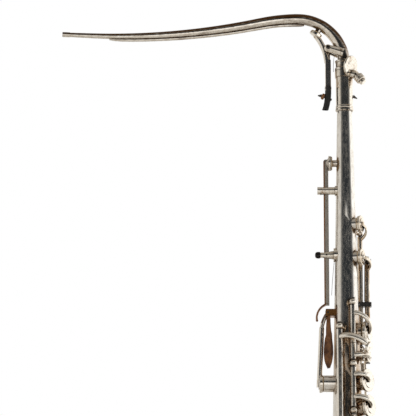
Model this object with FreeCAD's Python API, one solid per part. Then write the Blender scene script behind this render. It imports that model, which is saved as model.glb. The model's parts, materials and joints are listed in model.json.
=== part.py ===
import FreeCAD, Part
import math
import os

# A conical double-reed horn of baritone size, built like a saxophone: a swept crook in a receiver,
# a straight conical body tube, a bottom bow, an upturned bell, and padded keys on hinge tubes.
#
# While it is modelled, the body tube's axis is the Z axis and the receiver's mouth is at Z = 0, so
# everything on the body has a negative Z. The crook and the player are on the -X side, the bell is on
# the +X side. When a node is written, it is moved so that the strap eye's centre is the origin.

# ---- driving dimensions, in millimetres and degrees ----

# body tube
BODY_LENGTH = 1050.0
BODY_TOP_RADIUS = 7.0
BODY_TAPER = 0.0225
BODY_WALL = 0.8

# receiver on top of the body tube
RECEIVER_LENGTH = 48.0
RECEIVER_WALL = 1.5
TENON_RADIUS = 7.7
TENON_DEPTH = 34.0
COLLAR_HEIGHT = 9.0

# crook
CROOK_TIP_RADIUS = 2.3
CROOK_TAPER = 0.0132
CROOK_WALL = 0.7
BEND_RADIUS = 50.0
BEND_RISE = 4.5
CREST_RADIUS = 200.0
CREST_ANGLE = 11.5
SWEEP_RADIUS = 750.0
TIP_DROOP = 2.5
TIP_RUN = 30.0
FERRULE_LENGTH = 8.0
FERRULE_WALL = 0.4

# bow and bell
BOW_RADIUS = 66.0
BOW_END_RADIUS = 34.0
BOW_WALL = 0.9
BELL_LENGTH = 600.0
BELL_TAPER = 0.0165
BELL_FLARE_LENGTH = 200.0
BELL_MOUTH_RADIUS = 78.0
BELL_WALL = 0.9
RIM_WIRE_RADIUS = 2.2

# hinges
ROD_RADIUS = 1.5
HINGE_RADIUS = 2.75
BALL_RADIUS = 3.5
LONG_HINGE_RADIUS = 3.4
KNOB_RADIUS = 4.1
KEY_PIN_RADIUS = 1.4
POST_FOOT_RADIUS = 4.2

# pads and cups
PAD_THICKNESS = 2.6
CUP_WALL = 0.65
CHIMNEY_WALL = 0.8
CUP_OVERHANG = 1.9
CUP_DEPTH = 0.9
PAD_ENTRY = 4.0

# strap eye and thumb hook
STRAP_EYE_HEIGHT = -400.0
STRAP_EYE_BORE = 5.0
STRAP_EYE_THICKNESS = 4.0
STRAP_EYE_WALL = 3.0
STRAP_EYE_STANDOFF = 8.42
THUMB_HOOK_HEIGHT = -560.0

# clearances
RUNNING = 0.05
SEAT = 0.02
OPEN_GAP = 0.35
END_GAP = 0.4

# how far the keys stand open or lift
STACK_LIFT = 10.0

Vec = FreeCAD.Vector
X_AXIS = Vec(1, 0, 0)
Y_AXIS = Vec(0, 1, 0)
Z_AXIS = Vec(0, 0, 1)
nodes = {}


# ---- sizes that follow from the driving dimensions ----

def body_radius(z):
    """Outer radius of the body tube at height z."""
    return BODY_TOP_RADIUS - BODY_TAPER * z


def bell_radius(run):
    """Outer radius of the bell, run millimetres above the bow."""
    flare = max(0.0, run - (BELL_LENGTH - BELL_FLARE_LENGTH)) / BELL_FLARE_LENGTH
    straight = BOW_END_RADIUS + BELL_TAPER * run
    at_mouth = BOW_END_RADIUS + BELL_TAPER * BELL_LENGTH
    return straight + (BELL_MOUTH_RADIUS - at_mouth) * flare ** 3


RECEIVER_RADIUS = TENON_RADIUS + RUNNING + RECEIVER_WALL
BODY_BOTTOM = -BODY_LENGTH
BODY_TOP = -TENON_DEPTH - 2.0
BELL_X = 2 * BOW_RADIUS
BELL_TOP = BODY_BOTTOM + BELL_LENGTH
EYE_X = -body_radius(STRAP_EYE_HEIGHT) - STRAP_EYE_STANDOFF
ORIGIN = Vec(EYE_X, 0, STRAP_EYE_HEIGHT)
POST_GAP = BALL_RADIUS + END_GAP


# ---- small shape helpers ----

def cylinder(start, end, radius):
    axis = end - start
    return Part.makeCylinder(radius, axis.Length, start, axis)


def cone(start, end, start_radius, end_radius):
    axis = end - start
    return Part.makeCone(start_radius, end_radius, axis.Length, start, axis)


def ball(centre, radius):
    return Part.makeSphere(radius, centre)


def box(low, high):
    size = high - low
    return Part.makeBox(size.x, size.y, size.z, low)


def around(angle, distance, z):
    """The point at a distance from the body's axis. Angle 0 is +X, and 90 is the -Y side."""
    turn = math.radians(angle)
    return Vec(distance * math.cos(turn), -distance * math.sin(turn), z)


def rod_place(angle, z, standoff):
    """Where a rod stands that keeps its standoff from the body tube down to height z."""
    place = around(angle, body_radius(z) + standoff, 0)
    return (place.x, place.y)


def fused(first, *others):
    return first.fuse(list(others)).removeSplitter()


def ellipse_wire(centre, wide, wide_radius, thin, thin_radius):
    """An elliptic wire whose half-axes lie along two square directions."""
    wide_point = centre + Vec(wide).normalize() * wide_radius
    thin_point = centre + Vec(thin).normalize() * thin_radius
    if wide_radius >= thin_radius:
        curve = Part.Ellipse(wide_point, thin_point, centre)
    else:
        curve = Part.Ellipse(thin_point, wide_point, centre)
    return Part.Wire(curve.toShape())


def curved_bar(start, middle, end, wide_radius, thin_radius):
    """A bar of oval section along an arc. The wide way is square to the arc's plane."""
    path = Part.Arc(start, middle, end).toShape()
    tangent = path.tangentAt(path.FirstParameter)
    wide = (middle - start).cross(end - start)
    thin = tangent.cross(wide)
    section = ellipse_wire(start, wide, wide_radius, thin, thin_radius)
    return Part.Wire(path).makePipeShell([section], True, False)


def straight_bar(start, end, wide, wide_radius, thin_radius):
    """A straight bar of oval section."""
    along = end - start
    section = ellipse_wire(start, wide, wide_radius, along.cross(wide), thin_radius)
    return Part.Face(section).extrude(along)


def ring_wire(centre, angle, radius):
    """A circle in the XZ plane's tube family: level at angle 0, turned about Y by angle."""
    wire = Part.Wire(Part.Circle(Vec(0, 0, 0), Z_AXIS, radius).toShape())
    wire.rotate(Vec(0, 0, 0), Y_AXIS, angle)
    wire.translate(centre)
    return wire


def loft(sections):
    """A smooth solid through (centre, angle, radius) sections."""
    wires = [ring_wire(centre, angle, radius) for centre, angle, radius in sections]
    return Part.makeLoft(wires, True, False)


def turned(points, base, axis):
    """A solid turned from a closed (distance along the axis, radius) outline."""
    side = Vec(0, 1, 0) if abs(axis.y) < 0.9 else Vec(1, 0, 0)
    side = axis.cross(side).normalize()
    outline = [base + axis * along + side * radius for along, radius in points]
    outline.append(outline[0])
    face = Part.Face(Part.makePolygon(outline))
    return face.revolve(base, axis, 360)


# ---- body tube and what is soldered on it ----

def body_cone(extra=0.0, top=0.0):
    """The solid inside the body tube's outer face, grown by extra."""
    return cone(
        Vec(0, 0, BODY_BOTTOM),
        Vec(0, 0, top),
        body_radius(BODY_BOTTOM) + extra,
        body_radius(top) + extra,
    )


BODY_SOLID = body_cone(SEAT)


def on_body(shape):
    """Trims a soldered piece so that it sits on the body tube's outer face."""
    return shape.cut(BODY_SOLID)


def chimney(angle, z, radius, height):
    """A tone hole chimney, with its seat square to the body's axis."""
    seat = body_radius(z) + height
    outer = cylinder(Vec(0, 0, z), around(angle, seat, z), radius)
    inner = cylinder(Vec(0, 0, z), around(angle, seat + 1, z), radius - CHIMNEY_WALL)
    return on_body(outer.cut(inner))


def tone_hole(angle, z, radius):
    reach = body_radius(z) + 5
    return cylinder(Vec(0, 0, z), around(angle, reach, z), radius - CHIMNEY_WALL)


def cup_and_pad(centre, out, radius):
    """A domed cup and its pad. centre is the middle of the pad's face, out points off the hole."""
    out = Vec(out).normalize()
    pad_radius = radius - CUP_WALL - SEAT
    pad = Part.makeCylinder(pad_radius, PAD_THICKNESS, centre, out)
    dome = PAD_THICKNESS + CUP_DEPTH + 0.5 + radius * 0.07
    side = out.cross(Y_AXIS) if abs(out.y) < 0.9 else out.cross(X_AXIS)
    side.normalize()

    def at(along, across):
        return centre + out * along + side * across

    rim = PAD_THICKNESS * 0.35
    shoulder = PAD_THICKNESS + CUP_DEPTH
    edges = [
        Part.makeLine(at(rim, radius - CUP_WALL), at(rim, radius)),
        Part.makeLine(at(rim, radius), at(shoulder, radius)),
        Part.Arc(
            at(shoulder, radius),
            at(dome - (dome - shoulder) * 0.28, radius * 0.55),
            at(dome, 0),
        ).toShape(),
        Part.makeLine(at(dome, 0), at(PAD_THICKNESS + SEAT, 0)),
        Part.makeLine(at(PAD_THICKNESS + SEAT, 0), at(PAD_THICKNESS + SEAT, radius - CUP_WALL)),
        Part.makeLine(at(PAD_THICKNESS + SEAT, radius - CUP_WALL), at(rim, radius - CUP_WALL)),
    ]
    cup = Part.Face(Part.Wire(edges)).revolve(centre, out, 360)
    return cup, pad, centre + out * dome


def pad_room(centre, out, radius):
    """The space under a cup that its arm must stay out of. Its faces lie inside the cup's metal."""
    out = Vec(out).normalize()
    depth = PAD_THICKNESS + CUP_DEPTH / 2
    return Part.makeCylinder(radius - CUP_WALL / 2, depth + PAD_ENTRY, centre - out * PAD_ENTRY, out)


def hinge_tube(x, y, low, high, radius=HINGE_RADIUS):
    return cylinder(Vec(x, y, low), Vec(x, y, high), radius)


def hinge_bore(x, y, low, high):
    return cylinder(Vec(x, y, low - 1), Vec(x, y, high + 1), ROD_RADIUS + RUNNING)


def pillar(x, y, z):
    """A turned pillar from the body tube to a ball that holds the rod."""
    centre = Vec(x, y, z)
    out = Vec(x, y, 0).normalize()
    skin = body_radius(z)
    foot_top = Vec(out) * (skin + 1.3) + Vec(0, 0, z)
    inside = Vec(out) * (skin - 2.5) + Vec(0, 0, z)
    foot = cylinder(inside, foot_top, POST_FOOT_RADIUS)
    stem = cone(foot_top - out * 0.5, centre, 2.6, 1.9)
    whole = fused(foot, stem, ball(centre, BALL_RADIUS))
    bore = cylinder(centre - Z_AXIS * 9, centre + Z_AXIS * 9, ROD_RADIUS + SEAT)
    return on_body(whole).cut(bore)


def rod(x, y, low, high):
    """A steel pivot rod with a slotted head at its upper end."""
    shank = cylinder(Vec(x, y, low), Vec(x, y, high), ROD_RADIUS)
    head = cylinder(Vec(x, y, high), Vec(x, y, high + 0.9), 2.2)
    slot = box(Vec(x - 3, y - 0.3, high + 0.45), Vec(x + 3, y + 0.3, high + 2))
    return fused(shank, head).cut(slot)


# ---- crook ----

def crook_path():
    """The crook's centre line from its tip to its tenon: (centre, angle, distance from the tip)."""
    bend_centre = Vec(-BEND_RADIUS, 0, BEND_RISE)
    crest_start = Vec(-BEND_RADIUS, 0, BEND_RISE + BEND_RADIUS)
    crest_centre = crest_start - Z_AXIS * CREST_RADIUS
    steep = math.radians(CREST_ANGLE)
    droop = math.radians(TIP_DROOP)
    sweep_top = crest_centre + Vec(-math.sin(steep), 0, math.cos(steep)) * CREST_RADIUS
    sweep_centre = sweep_top + Vec(-math.sin(steep), 0, math.cos(steep)) * SWEEP_RADIUS
    sweep_start = sweep_centre + Vec(-math.sin(droop), 0, -math.cos(droop)) * SWEEP_RADIUS

    def place(centre, radius, heading, up):
        side = Vec(-math.sin(heading), 0, math.cos(heading))
        return centre + side * (radius if up else -radius)

    tip = sweep_start - Vec(math.cos(droop), 0, -math.sin(droop)) * TIP_RUN
    stops = [(tip, -droop, 0.0), ((tip + sweep_start) * 0.5, -droop, TIP_RUN / 2)]
    run = TIP_RUN
    sweep_steps = 9
    for step in range(sweep_steps + 1):
        heading = -droop + (steep + droop) * step / sweep_steps
        distance = run + SWEEP_RADIUS * (heading + droop)
        stops.append((place(sweep_centre, SWEEP_RADIUS, heading, False), heading, distance))
    run += SWEEP_RADIUS * (steep + droop)
    crest_steps = 3
    for step in range(1, crest_steps + 1):
        heading = steep * (1 - step / crest_steps)
        distance = run + CREST_RADIUS * (steep - heading)
        stops.append((place(crest_centre, CREST_RADIUS, heading, True), heading, distance))
    run += CREST_RADIUS * steep
    bend_steps = 9
    for step in range(1, bend_steps + 1):
        heading = -math.pi / 2 * step / bend_steps
        distance = run - BEND_RADIUS * heading
        stops.append((place(bend_centre, BEND_RADIUS, heading, True), heading, distance))
    run += BEND_RADIUS * math.pi / 2
    return stops, run


def crook_radius(distance):
    return CROOK_TIP_RADIUS + CROOK_TAPER * distance


CROOK_STOPS, CROOK_BENT_LENGTH = crook_path()
CROOK_LENGTH = CROOK_BENT_LENGTH + BEND_RISE + TENON_DEPTH


def crook_solid(shrink):
    sections = []
    for centre, heading, distance in CROOK_STOPS:
        radius = crook_radius(distance) - shrink
        sections.append((centre, 90 - math.degrees(heading), radius))
    bent = loft(sections)
    lower_start = Vec(0, 0, BEND_RISE)
    lower_end = Vec(0, 0, -TENON_DEPTH)
    straight = cone(
        lower_start,
        lower_end,
        crook_radius(CROOK_BENT_LENGTH) - shrink,
        crook_radius(CROOK_LENGTH) - shrink,
    )
    return fused(bent, straight)


CROOK_OUTER = crook_solid(0.0)
CROOK_INNER = crook_solid(CROOK_WALL)
VENT_TURN = 58.6
VENT_OUT = Vec(-math.cos(math.radians(VENT_TURN)), 0, -math.sin(math.radians(VENT_TURN)))
VENT_LINE = Vec(-BEND_RADIUS, 0, BEND_RISE) - VENT_OUT * BEND_RADIUS
VENT_RADIUS = 3.2
VENT_BORE = 1.6
VENT_SEAT = 9.2
nodes["crook_tube"] = CROOK_OUTER.cut(CROOK_INNER).cut(
    cylinder(VENT_LINE, VENT_LINE + VENT_OUT * 10, VENT_BORE)
)

TIP = CROOK_STOPS[0][0]
TIP_HEADING = math.radians(-TIP_DROOP)
TIP_ALONG = Vec(math.cos(TIP_HEADING), 0, math.sin(TIP_HEADING))
ferrule_radius = CROOK_TIP_RADIUS + FERRULE_WALL
ferrule = cylinder(TIP, TIP + TIP_ALONG * FERRULE_LENGTH, ferrule_radius)
nodes["reed_ferrule"] = ferrule.cut(CROOK_OUTER).cut(
    cylinder(TIP - TIP_ALONG, TIP + TIP_ALONG * (FERRULE_LENGTH + 1), CROOK_TIP_RADIUS)
)

# a half-round rib under the crook, from a quarter of its length to the start of the bend
rib_sections = []
RIB_FIRST = 3
RIB_LAST = 15
for index in range(RIB_FIRST, RIB_LAST + 1):
    centre, heading, distance = CROOK_STOPS[index]
    down = Vec(math.sin(heading), 0, -math.cos(heading))
    rib_radius = 1.9
    if index in (RIB_FIRST, RIB_LAST):
        rib_radius = 0.9
    middle = centre + down * (crook_radius(distance) + rib_radius * 0.45)
    rib_sections.append((middle, 90 - math.degrees(heading), rib_radius))
nodes["crook_rib"] = loft(rib_sections).cut(CROOK_OUTER)

tenon = cylinder(Vec(0, 0, -TENON_DEPTH + 1), Vec(0, 0, OPEN_GAP + 1), TENON_RADIUS)
collar_outline = [
    (OPEN_GAP, 0),
    (OPEN_GAP, RECEIVER_RADIUS - 0.2),
    (COLLAR_HEIGHT - 3.4, RECEIVER_RADIUS - 0.2),
    (COLLAR_HEIGHT - 3.0, RECEIVER_RADIUS + 0.5),
    (COLLAR_HEIGHT - 1.4, RECEIVER_RADIUS + 0.5),
    (COLLAR_HEIGHT - 0.8, RECEIVER_RADIUS - 0.6),
    (COLLAR_HEIGHT, TENON_RADIUS),
    (COLLAR_HEIGHT, 0),
]
collar = turned(collar_outline, Vec(0, 0, 0), Z_AXIS)
nodes["crook_tenon"] = fused(tenon, collar).cut(CROOK_OUTER)
vent = cylinder(VENT_LINE, VENT_LINE + VENT_OUT * VENT_SEAT, VENT_RADIUS)
nodes["crook_vent"] = vent.cut(CROOK_OUTER).cut(
    cylinder(VENT_LINE, VENT_LINE + VENT_OUT * 20, VENT_BORE)
)

# crook key: cup on the inside of the bend, long tail down beside the receiver
KEY_PIVOT = Vec(-TENON_RADIUS - 9.6, 0, BEND_RISE + 16.7)
KEY_BARREL_HALF = 2.6
SADDLE_OFFSET = KEY_BARREL_HALF + END_GAP + 1.3
saddle_parts = []
for side in (-1, 1):
    knob = KEY_PIVOT + Y_AXIS * side * SADDLE_OFFSET
    root = Vec(-3.4, side * 5.0, KEY_PIVOT.z - 4.6)
    leg = cone(root, knob, 5.0, 3.8)
    foot = cone(root + Vec(2.4, 0, -0.8), root + Vec(-2.6, 0, 0.9), 5.2, 4.2)
    whole = fused(foot, leg, ball(knob, KNOB_RADIUS))
    cheek = KEY_BARREL_HALF + END_GAP
    room = box(Vec(-40, -cheek, 0), Vec(-10.2, cheek, 40))
    bore = cylinder(knob - Y_AXIS * 6, knob + Y_AXIS * 6, KEY_PIN_RADIUS + SEAT)
    saddle_parts.append(whole.cut(CROOK_OUTER).cut(room).cut(bore))
nodes["crook_key_saddle"] = Part.makeCompound(saddle_parts)
pin_half = SADDLE_OFFSET + KNOB_RADIUS
pivot_pin = cylinder(
    KEY_PIVOT - Y_AXIS * pin_half, KEY_PIVOT + Y_AXIS * pin_half, KEY_PIN_RADIUS
)
driver_slot = box(
    KEY_PIVOT + Vec(-3, -pin_half - 1, -0.3), KEY_PIVOT + Vec(3, -pin_half + 0.5, 0.3)
)
nodes["crook_key_pivot"] = pivot_pin.cut(driver_slot)

CROOK_CUP_RADIUS = 7.0
crook_seat = VENT_LINE + VENT_OUT * (VENT_SEAT + OPEN_GAP)
crook_cup, crook_pad, cup_back = cup_and_pad(crook_seat, VENT_OUT, CROOK_CUP_RADIUS)
nodes["crook_key_pad"] = crook_pad
barrel = cylinder(
    KEY_PIVOT - Y_AXIS * KEY_BARREL_HALF, KEY_PIVOT + Y_AXIS * KEY_BARREL_HALF, 3.4
)
tail_top = Vec(KEY_PIVOT.x, 0, 9.0)
tail_end = Vec(KEY_PIVOT.x, 0, -25.0)
TAIL_HALF = 3.1
strap_middle = KEY_PIVOT + Vec(-6.0, 0, 4.2)
strap_end = Vec(KEY_PIVOT.x - 0.9, 0, tail_top.z - 3.0)
strap = curved_bar(cup_back - VENT_OUT * 1.6, strap_middle, strap_end, KEY_BARREL_HALF, 3.0)
web = straight_bar(KEY_PIVOT, Vec(KEY_PIVOT.x, 0, tail_top.z - 3.0), Y_AXIS, 2.0, 2.4)
tail = box(
    Vec(tail_end.x - TAIL_HALF, -2.4, tail_end.z), Vec(tail_end.x + TAIL_HALF, 2.4, tail_top.z)
)
tail = tail.makeFillet(1.0, [edge for edge in tail.Edges if edge.Length > 20])
strap = strap.cut(pad_room(crook_seat, VENT_OUT, CROOK_CUP_RADIUS))
key = fused(crook_cup, strap, web, tail, barrel)
key = key.cut(
    cylinder(KEY_PIVOT - Y_AXIS * 9, KEY_PIVOT + Y_AXIS * 9, KEY_PIN_RADIUS + RUNNING)
)
nodes["crook_key"] = key

SLEEVE_TOP = Vec(tail_end.x, 0, -20.0)
SLEEVE_END = Vec(-20.4, 0, -45.5)
sleeve_bend = Vec(tail_end.x - 0.5, 0, -31.0)
sleeve = curved_bar(SLEEVE_TOP, sleeve_bend, SLEEVE_END, 3.4, 3.3).cut(tail)
SCREW_Z = -33.0
screw_line = cylinder(Vec(-24.5, 0, SCREW_Z + 2.4), Vec(-13.6, 0, SCREW_Z - 2.0), 1.3)
nodes["tail_sleeve"] = sleeve.cut(screw_line)
nodes["regulating_screw"] = fused(
    screw_line, cone(Vec(-24.3, 0, SCREW_Z + 2.4), Vec(-28.4, 0, SCREW_Z + 2.9), 2.0, 0.5)
)
washer = cylinder(Vec(-24.2, 0, SCREW_Z + 2.3), Vec(-21.4, 0, SCREW_Z + 1.2), 3.4)
nodes["leather_washer"] = washer.cut(nodes["regulating_screw"]).cut(sleeve)
spring_line = curved_bar(
    Vec(-TENON_RADIUS - 1.9, 0, 17.0),
    Vec(-TENON_RADIUS - 3.5, 0, COLLAR_HEIGHT - 1.0),
    Vec(-TENON_RADIUS - 3.7, 0, -4.0),
    1.2,
    0.25,
)
nodes["crook_key_spring"] = spring_line.cut(CROOK_OUTER).cut(nodes["crook_key_saddle"])

# ---- receiver and its clamp ----

bore_cut = cylinder(Vec(0, 0, -TENON_DEPTH - 1), Vec(0, 0, 5), TENON_RADIUS + RUNNING)
receiver_outline = [
    (-RECEIVER_LENGTH, 0),
    (-RECEIVER_LENGTH, RECEIVER_RADIUS - 0.5),
    (-RECEIVER_LENGTH + 0.8, RECEIVER_RADIUS + 0.55),
    (-RECEIVER_LENGTH + 2.6, RECEIVER_RADIUS + 0.55),
    (-RECEIVER_LENGTH + 3.2, RECEIVER_RADIUS - 0.2),
    (-RECEIVER_LENGTH + 4.2, RECEIVER_RADIUS + 0.2),
    (-RECEIVER_LENGTH + 5.6, RECEIVER_RADIUS + 0.2),
    (-RECEIVER_LENGTH + 6.2, RECEIVER_RADIUS - 0.2),
    (-3.4, RECEIVER_RADIUS - 0.2),
    (-3.0, RECEIVER_RADIUS + 0.7),
    (-0.6, RECEIVER_RADIUS + 0.7),
    (0.0, RECEIVER_RADIUS),
    (0.0, 0),
]
receiver = turned(receiver_outline, Vec(0, 0, 0), Z_AXIS).cut(bore_cut)
receiver = receiver.cut(body_cone(SEAT, BODY_TOP))
slit = box(Vec(4, -0.6, -22), Vec(15, 0.6, 2))
nodes["receiver"] = receiver.cut(slit)

PLATE_CENTRE = Vec(RECEIVER_RADIUS - 2.9, -9.4, 0.0)
PLATE_AXIS = Vec(0.77, -0.61, -0.2).normalize()
PLATE_RADIUS = 11.2
SCREW_START = Vec(RECEIVER_RADIUS + 2.0, -7.8, -7.6)
SCREW_AXIS = Vec(0.60, -0.25, -0.76).normalize()
SCREW_SHANK = 2.2
CLAMP_KNOB_RADIUS = 5.3
clamp_band = cylinder(Vec(0, 0, -10.5), Vec(0, 0, -3.4 - SEAT), RECEIVER_RADIUS + 0.7)
plate = cylinder(PLATE_CENTRE - PLATE_AXIS * 1.3, PLATE_CENTRE + PLATE_AXIS * 1.3, PLATE_RADIUS)
plate = plate.makeFillet(1.0, [edge for edge in plate.Edges if edge.Length > 50])
plate_dome = ball(PLATE_CENTRE - PLATE_AXIS * 16.0, 18.6).common(
    cylinder(PLATE_CENTRE, PLATE_CENTRE + PLATE_AXIS * 6, PLATE_RADIUS - 1)
)
boss = cone(Vec(4.0, -3.0, -6.4), SCREW_START + SCREW_AXIS * 2.4, 5.4, 4.2)
clamp = fused(clamp_band, plate, plate_dome, boss)
clamp = clamp.cut(cylinder(Vec(0, 0, -40), Vec(0, 0, 20), RECEIVER_RADIUS - 0.2 + SEAT))
clamp = clamp.cut(cylinder(Vec(0, 0, -3.4), Vec(0, 0, 20), RECEIVER_RADIUS + 0.7 + OPEN_GAP))
screw_hole = cylinder(
    SCREW_START - SCREW_AXIS * 3, SCREW_START + SCREW_AXIS * 14, SCREW_SHANK + RUNNING
)
knob_room = cylinder(
    SCREW_START + SCREW_AXIS * 2.6, SCREW_START + SCREW_AXIS * 20, CLAMP_KNOB_RADIUS + END_GAP
)
nodes["receiver_clamp"] = clamp.cut(screw_hole).cut(knob_room)
shank = cylinder(SCREW_START - SCREW_AXIS * 0.9, SCREW_START + SCREW_AXIS * 5, SCREW_SHANK)
waist = cylinder(SCREW_START + SCREW_AXIS * 3.0, SCREW_START + SCREW_AXIS * 4.8, 3.6)
knob = cylinder(SCREW_START + SCREW_AXIS * 4.6, SCREW_START + SCREW_AXIS * 11.4, CLAMP_KNOB_RADIUS)
knob_edges = [edge for edge in knob.Edges if edge.Length > 20 and len(edge.Vertexes) == 1]
knob = knob.makeFillet(0.9, knob_edges)
for reach in (6.6, 9.4):
    knob = knob.cut(Part.makeTorus(CLAMP_KNOB_RADIUS, 0.5, SCREW_START + SCREW_AXIS * reach, SCREW_AXIS))
end_cap = cylinder(SCREW_START + SCREW_AXIS * 11.0, SCREW_START + SCREW_AXIS * 14.8, 3.6)
end_cap = end_cap.makeFillet(0.8, [edge for edge in end_cap.Edges if len(edge.Vertexes) == 1])
nodes["clamp_screw"] = fused(shank, waist, knob, end_cap)
set_screw_tip = Vec(RECEIVER_RADIUS + 4.4, 0, -33.5)
nodes["set_screw"] = cone(
    Vec(RECEIVER_RADIUS - 0.2 + SEAT, 0, -31.0), set_screw_tip, 1.9, 0.5
).cut(nodes["receiver"])

# ---- octave lever on the player's side ----

OCTAVE_VENT_Z = -104.7
OCTAVE_VENT_HEIGHT = 4.2
OCTAVE_CUP_RADIUS = 7.8
LEVER_HALF_WIDTH = 2.6
LEVER_HALF_THICK = 1.2
LEVER_TOP = OCTAVE_VENT_Z + 1.6
OCTAVE_PIN = 0.9
LEVER_BOTTOM = -258.0
LEVER_X = -body_radius(LEVER_BOTTOM) - 7.8
GUIDE_Z = -134.5
GUIDE_RADIUS = 4.1
PIVOT_Z = -204.0

vent_seat = body_radius(OCTAVE_VENT_Z) + OCTAVE_VENT_HEIGHT
octave_seat = Vec(-vent_seat - OPEN_GAP, 0, OCTAVE_VENT_Z)
octave_cup, octave_pad, octave_back = cup_and_pad(octave_seat, Vec(-1, 0, 0), OCTAVE_CUP_RADIUS)
nodes["octave_pad"] = octave_pad
lever = box(
    Vec(LEVER_X - LEVER_HALF_WIDTH, -LEVER_HALF_THICK, LEVER_BOTTOM),
    Vec(LEVER_X + LEVER_HALF_WIDTH, LEVER_HALF_THICK, LEVER_TOP),
)
lever = lever.makeFillet(0.6, [edge for edge in lever.Edges if edge.Length > 100])
lever_end = cylinder(
    Vec(LEVER_X, -LEVER_HALF_THICK, LEVER_TOP), Vec(LEVER_X, LEVER_HALF_THICK, LEVER_TOP), LEVER_HALF_WIDTH
)
curl = curved_bar(
    Vec(LEVER_X, 0, LEVER_BOTTOM + 1.5),
    Vec(LEVER_X - 9.0, 0, LEVER_BOTTOM - 6.0),
    Vec(LEVER_X - 10.6, 0, LEVER_BOTTOM - 16.0),
    6.0,
    1.1,
)
curl_tip = ball(Vec(LEVER_X - 10.6, 0, LEVER_BOTTOM - 16.0), 1.3)
dome_foot = octave_back + X_AXIS * 0.7
dome = cone(dome_foot, Vec(LEVER_X, 0, OCTAVE_VENT_Z), OCTAVE_CUP_RADIUS * 0.8, LEVER_HALF_WIDTH)
bush = cylinder(Vec(LEVER_X, -1.6, PIVOT_Z), Vec(LEVER_X, 1.6, PIVOT_Z), 2.9)
octave_lever = fused(lever, lever_end, octave_cup, dome, curl, curl_tip, bush)
octave_lever = octave_lever.cut(
    cylinder(Vec(LEVER_X, -5, PIVOT_Z), Vec(LEVER_X, 5, PIVOT_Z), OCTAVE_PIN + RUNNING)
)
nodes["octave_lever"] = octave_lever

LEVER_SLOT = 1.6 + END_GAP
guide = cylinder(Vec(-5, 0, GUIDE_Z), Vec(LEVER_X - 9.2, 0, GUIDE_Z), GUIDE_RADIUS)
guide_foot = cylinder(
    Vec(-5, 0, GUIDE_Z), Vec(-body_radius(GUIDE_Z) - 1.2, 0, GUIDE_Z), GUIDE_RADIUS + 1.2
)
guide_slot = box(
    Vec(LEVER_X - LEVER_HALF_WIDTH - 3.4, -LEVER_HALF_THICK - 0.4, GUIDE_Z - 5),
    Vec(LEVER_X + LEVER_HALF_WIDTH + 1.2, LEVER_HALF_THICK + 0.4, GUIDE_Z + 5),
)
guide_pin_x = LEVER_X - 5.8
guide_pin = cylinder(
    Vec(guide_pin_x, -2.4, GUIDE_Z - GUIDE_RADIUS - 0.9), Vec(guide_pin_x, -2.4, GUIDE_Z - 2), 0.7
)
guide_pillar = on_body(fused(guide, guide_foot, guide_pin)).cut(guide_slot)
PIVOT_CONE_TOP = LEVER_X - 6.9
pivot_cone = cone(Vec(-8, 0, PIVOT_Z), Vec(PIVOT_CONE_TOP, 0, PIVOT_Z), 5.2, 2.7)
pivot_foot = cylinder(Vec(-5, 0, PIVOT_Z), Vec(-body_radius(PIVOT_Z) - 1.6, 0, PIVOT_Z), 7.4)
pivot_ball = ball(Vec(PIVOT_CONE_TOP - 1.6, 0, PIVOT_Z), 3.1)
pivot_slot = box(
    Vec(LEVER_X - LEVER_HALF_WIDTH - 1.4, -LEVER_SLOT, PIVOT_Z - 7),
    Vec(LEVER_X + LEVER_HALF_WIDTH + 1.4, LEVER_SLOT, PIVOT_Z + 7),
)
pivot_pillar = on_body(fused(pivot_foot, pivot_cone, pivot_ball)).cut(pivot_slot)
pin_span = cylinder(Vec(LEVER_X, -3.8, PIVOT_Z), Vec(LEVER_X, 3.8, PIVOT_Z), OCTAVE_PIN)
pivot_pillar = pivot_pillar.cut(
    cylinder(Vec(LEVER_X, -9, PIVOT_Z), Vec(LEVER_X, 9, PIVOT_Z), OCTAVE_PIN + SEAT)
)

# ---- thumb key, its bracket, and the leather thumb leaf ----

THUMB_VENT_Z = -341.0
THUMB_VENT_RADIUS = 8.8
THUMB_VENT_HEIGHT = 10.2
THUMB_CUP_RADIUS = 9.4
BRACKET_TOP = -262.6
BRACKET_LOW = BRACKET_TOP - 7.4
THUMB_PIVOT = Vec(-body_radius(BRACKET_LOW) - 6.8, 0, (BRACKET_TOP + BRACKET_LOW) / 2)
THUMB_BUSH_HALF = 2.4
THUMB_BUSH_RADIUS = 2.4
THUMB_PIN = 0.9
thumb_seat_x = body_radius(THUMB_VENT_Z) + THUMB_VENT_HEIGHT
thumb_seat = Vec(-thumb_seat_x - OPEN_GAP, 0, THUMB_VENT_Z)
thumb_cup, thumb_pad, thumb_back = cup_and_pad(thumb_seat, Vec(-1, 0, 0), THUMB_CUP_RADIUS)
nodes["thumb_key_pad"] = thumb_pad
bar_top = THUMB_PIVOT + Vec(-6.4, 0, -16.4)
thumb_bar = straight_bar(
    Vec(thumb_back.x + 0.4, 0, THUMB_VENT_Z - 4), bar_top, Y_AXIS, 3.6, 2.8
)
thumb_arch = curved_bar(
    bar_top, THUMB_PIVOT + Vec(-3.8, 0, -6.6), THUMB_PIVOT, THUMB_BUSH_HALF, 2.2
)
thumb_bar = thumb_bar.cut(pad_room(thumb_seat, Vec(-1, 0, 0), THUMB_CUP_RADIUS))
thumb_bush = cylinder(
    THUMB_PIVOT - Y_AXIS * THUMB_BUSH_HALF, THUMB_PIVOT + Y_AXIS * THUMB_BUSH_HALF, THUMB_BUSH_RADIUS
)
thumb_key = fused(thumb_cup, thumb_bar, thumb_bush, thumb_arch, ball(bar_top, 2.8))
nodes["thumb_key"] = thumb_key.cut(
    cylinder(THUMB_PIVOT - Y_AXIS * 9, THUMB_PIVOT + Y_AXIS * 9, THUMB_PIN + RUNNING)
)
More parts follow.
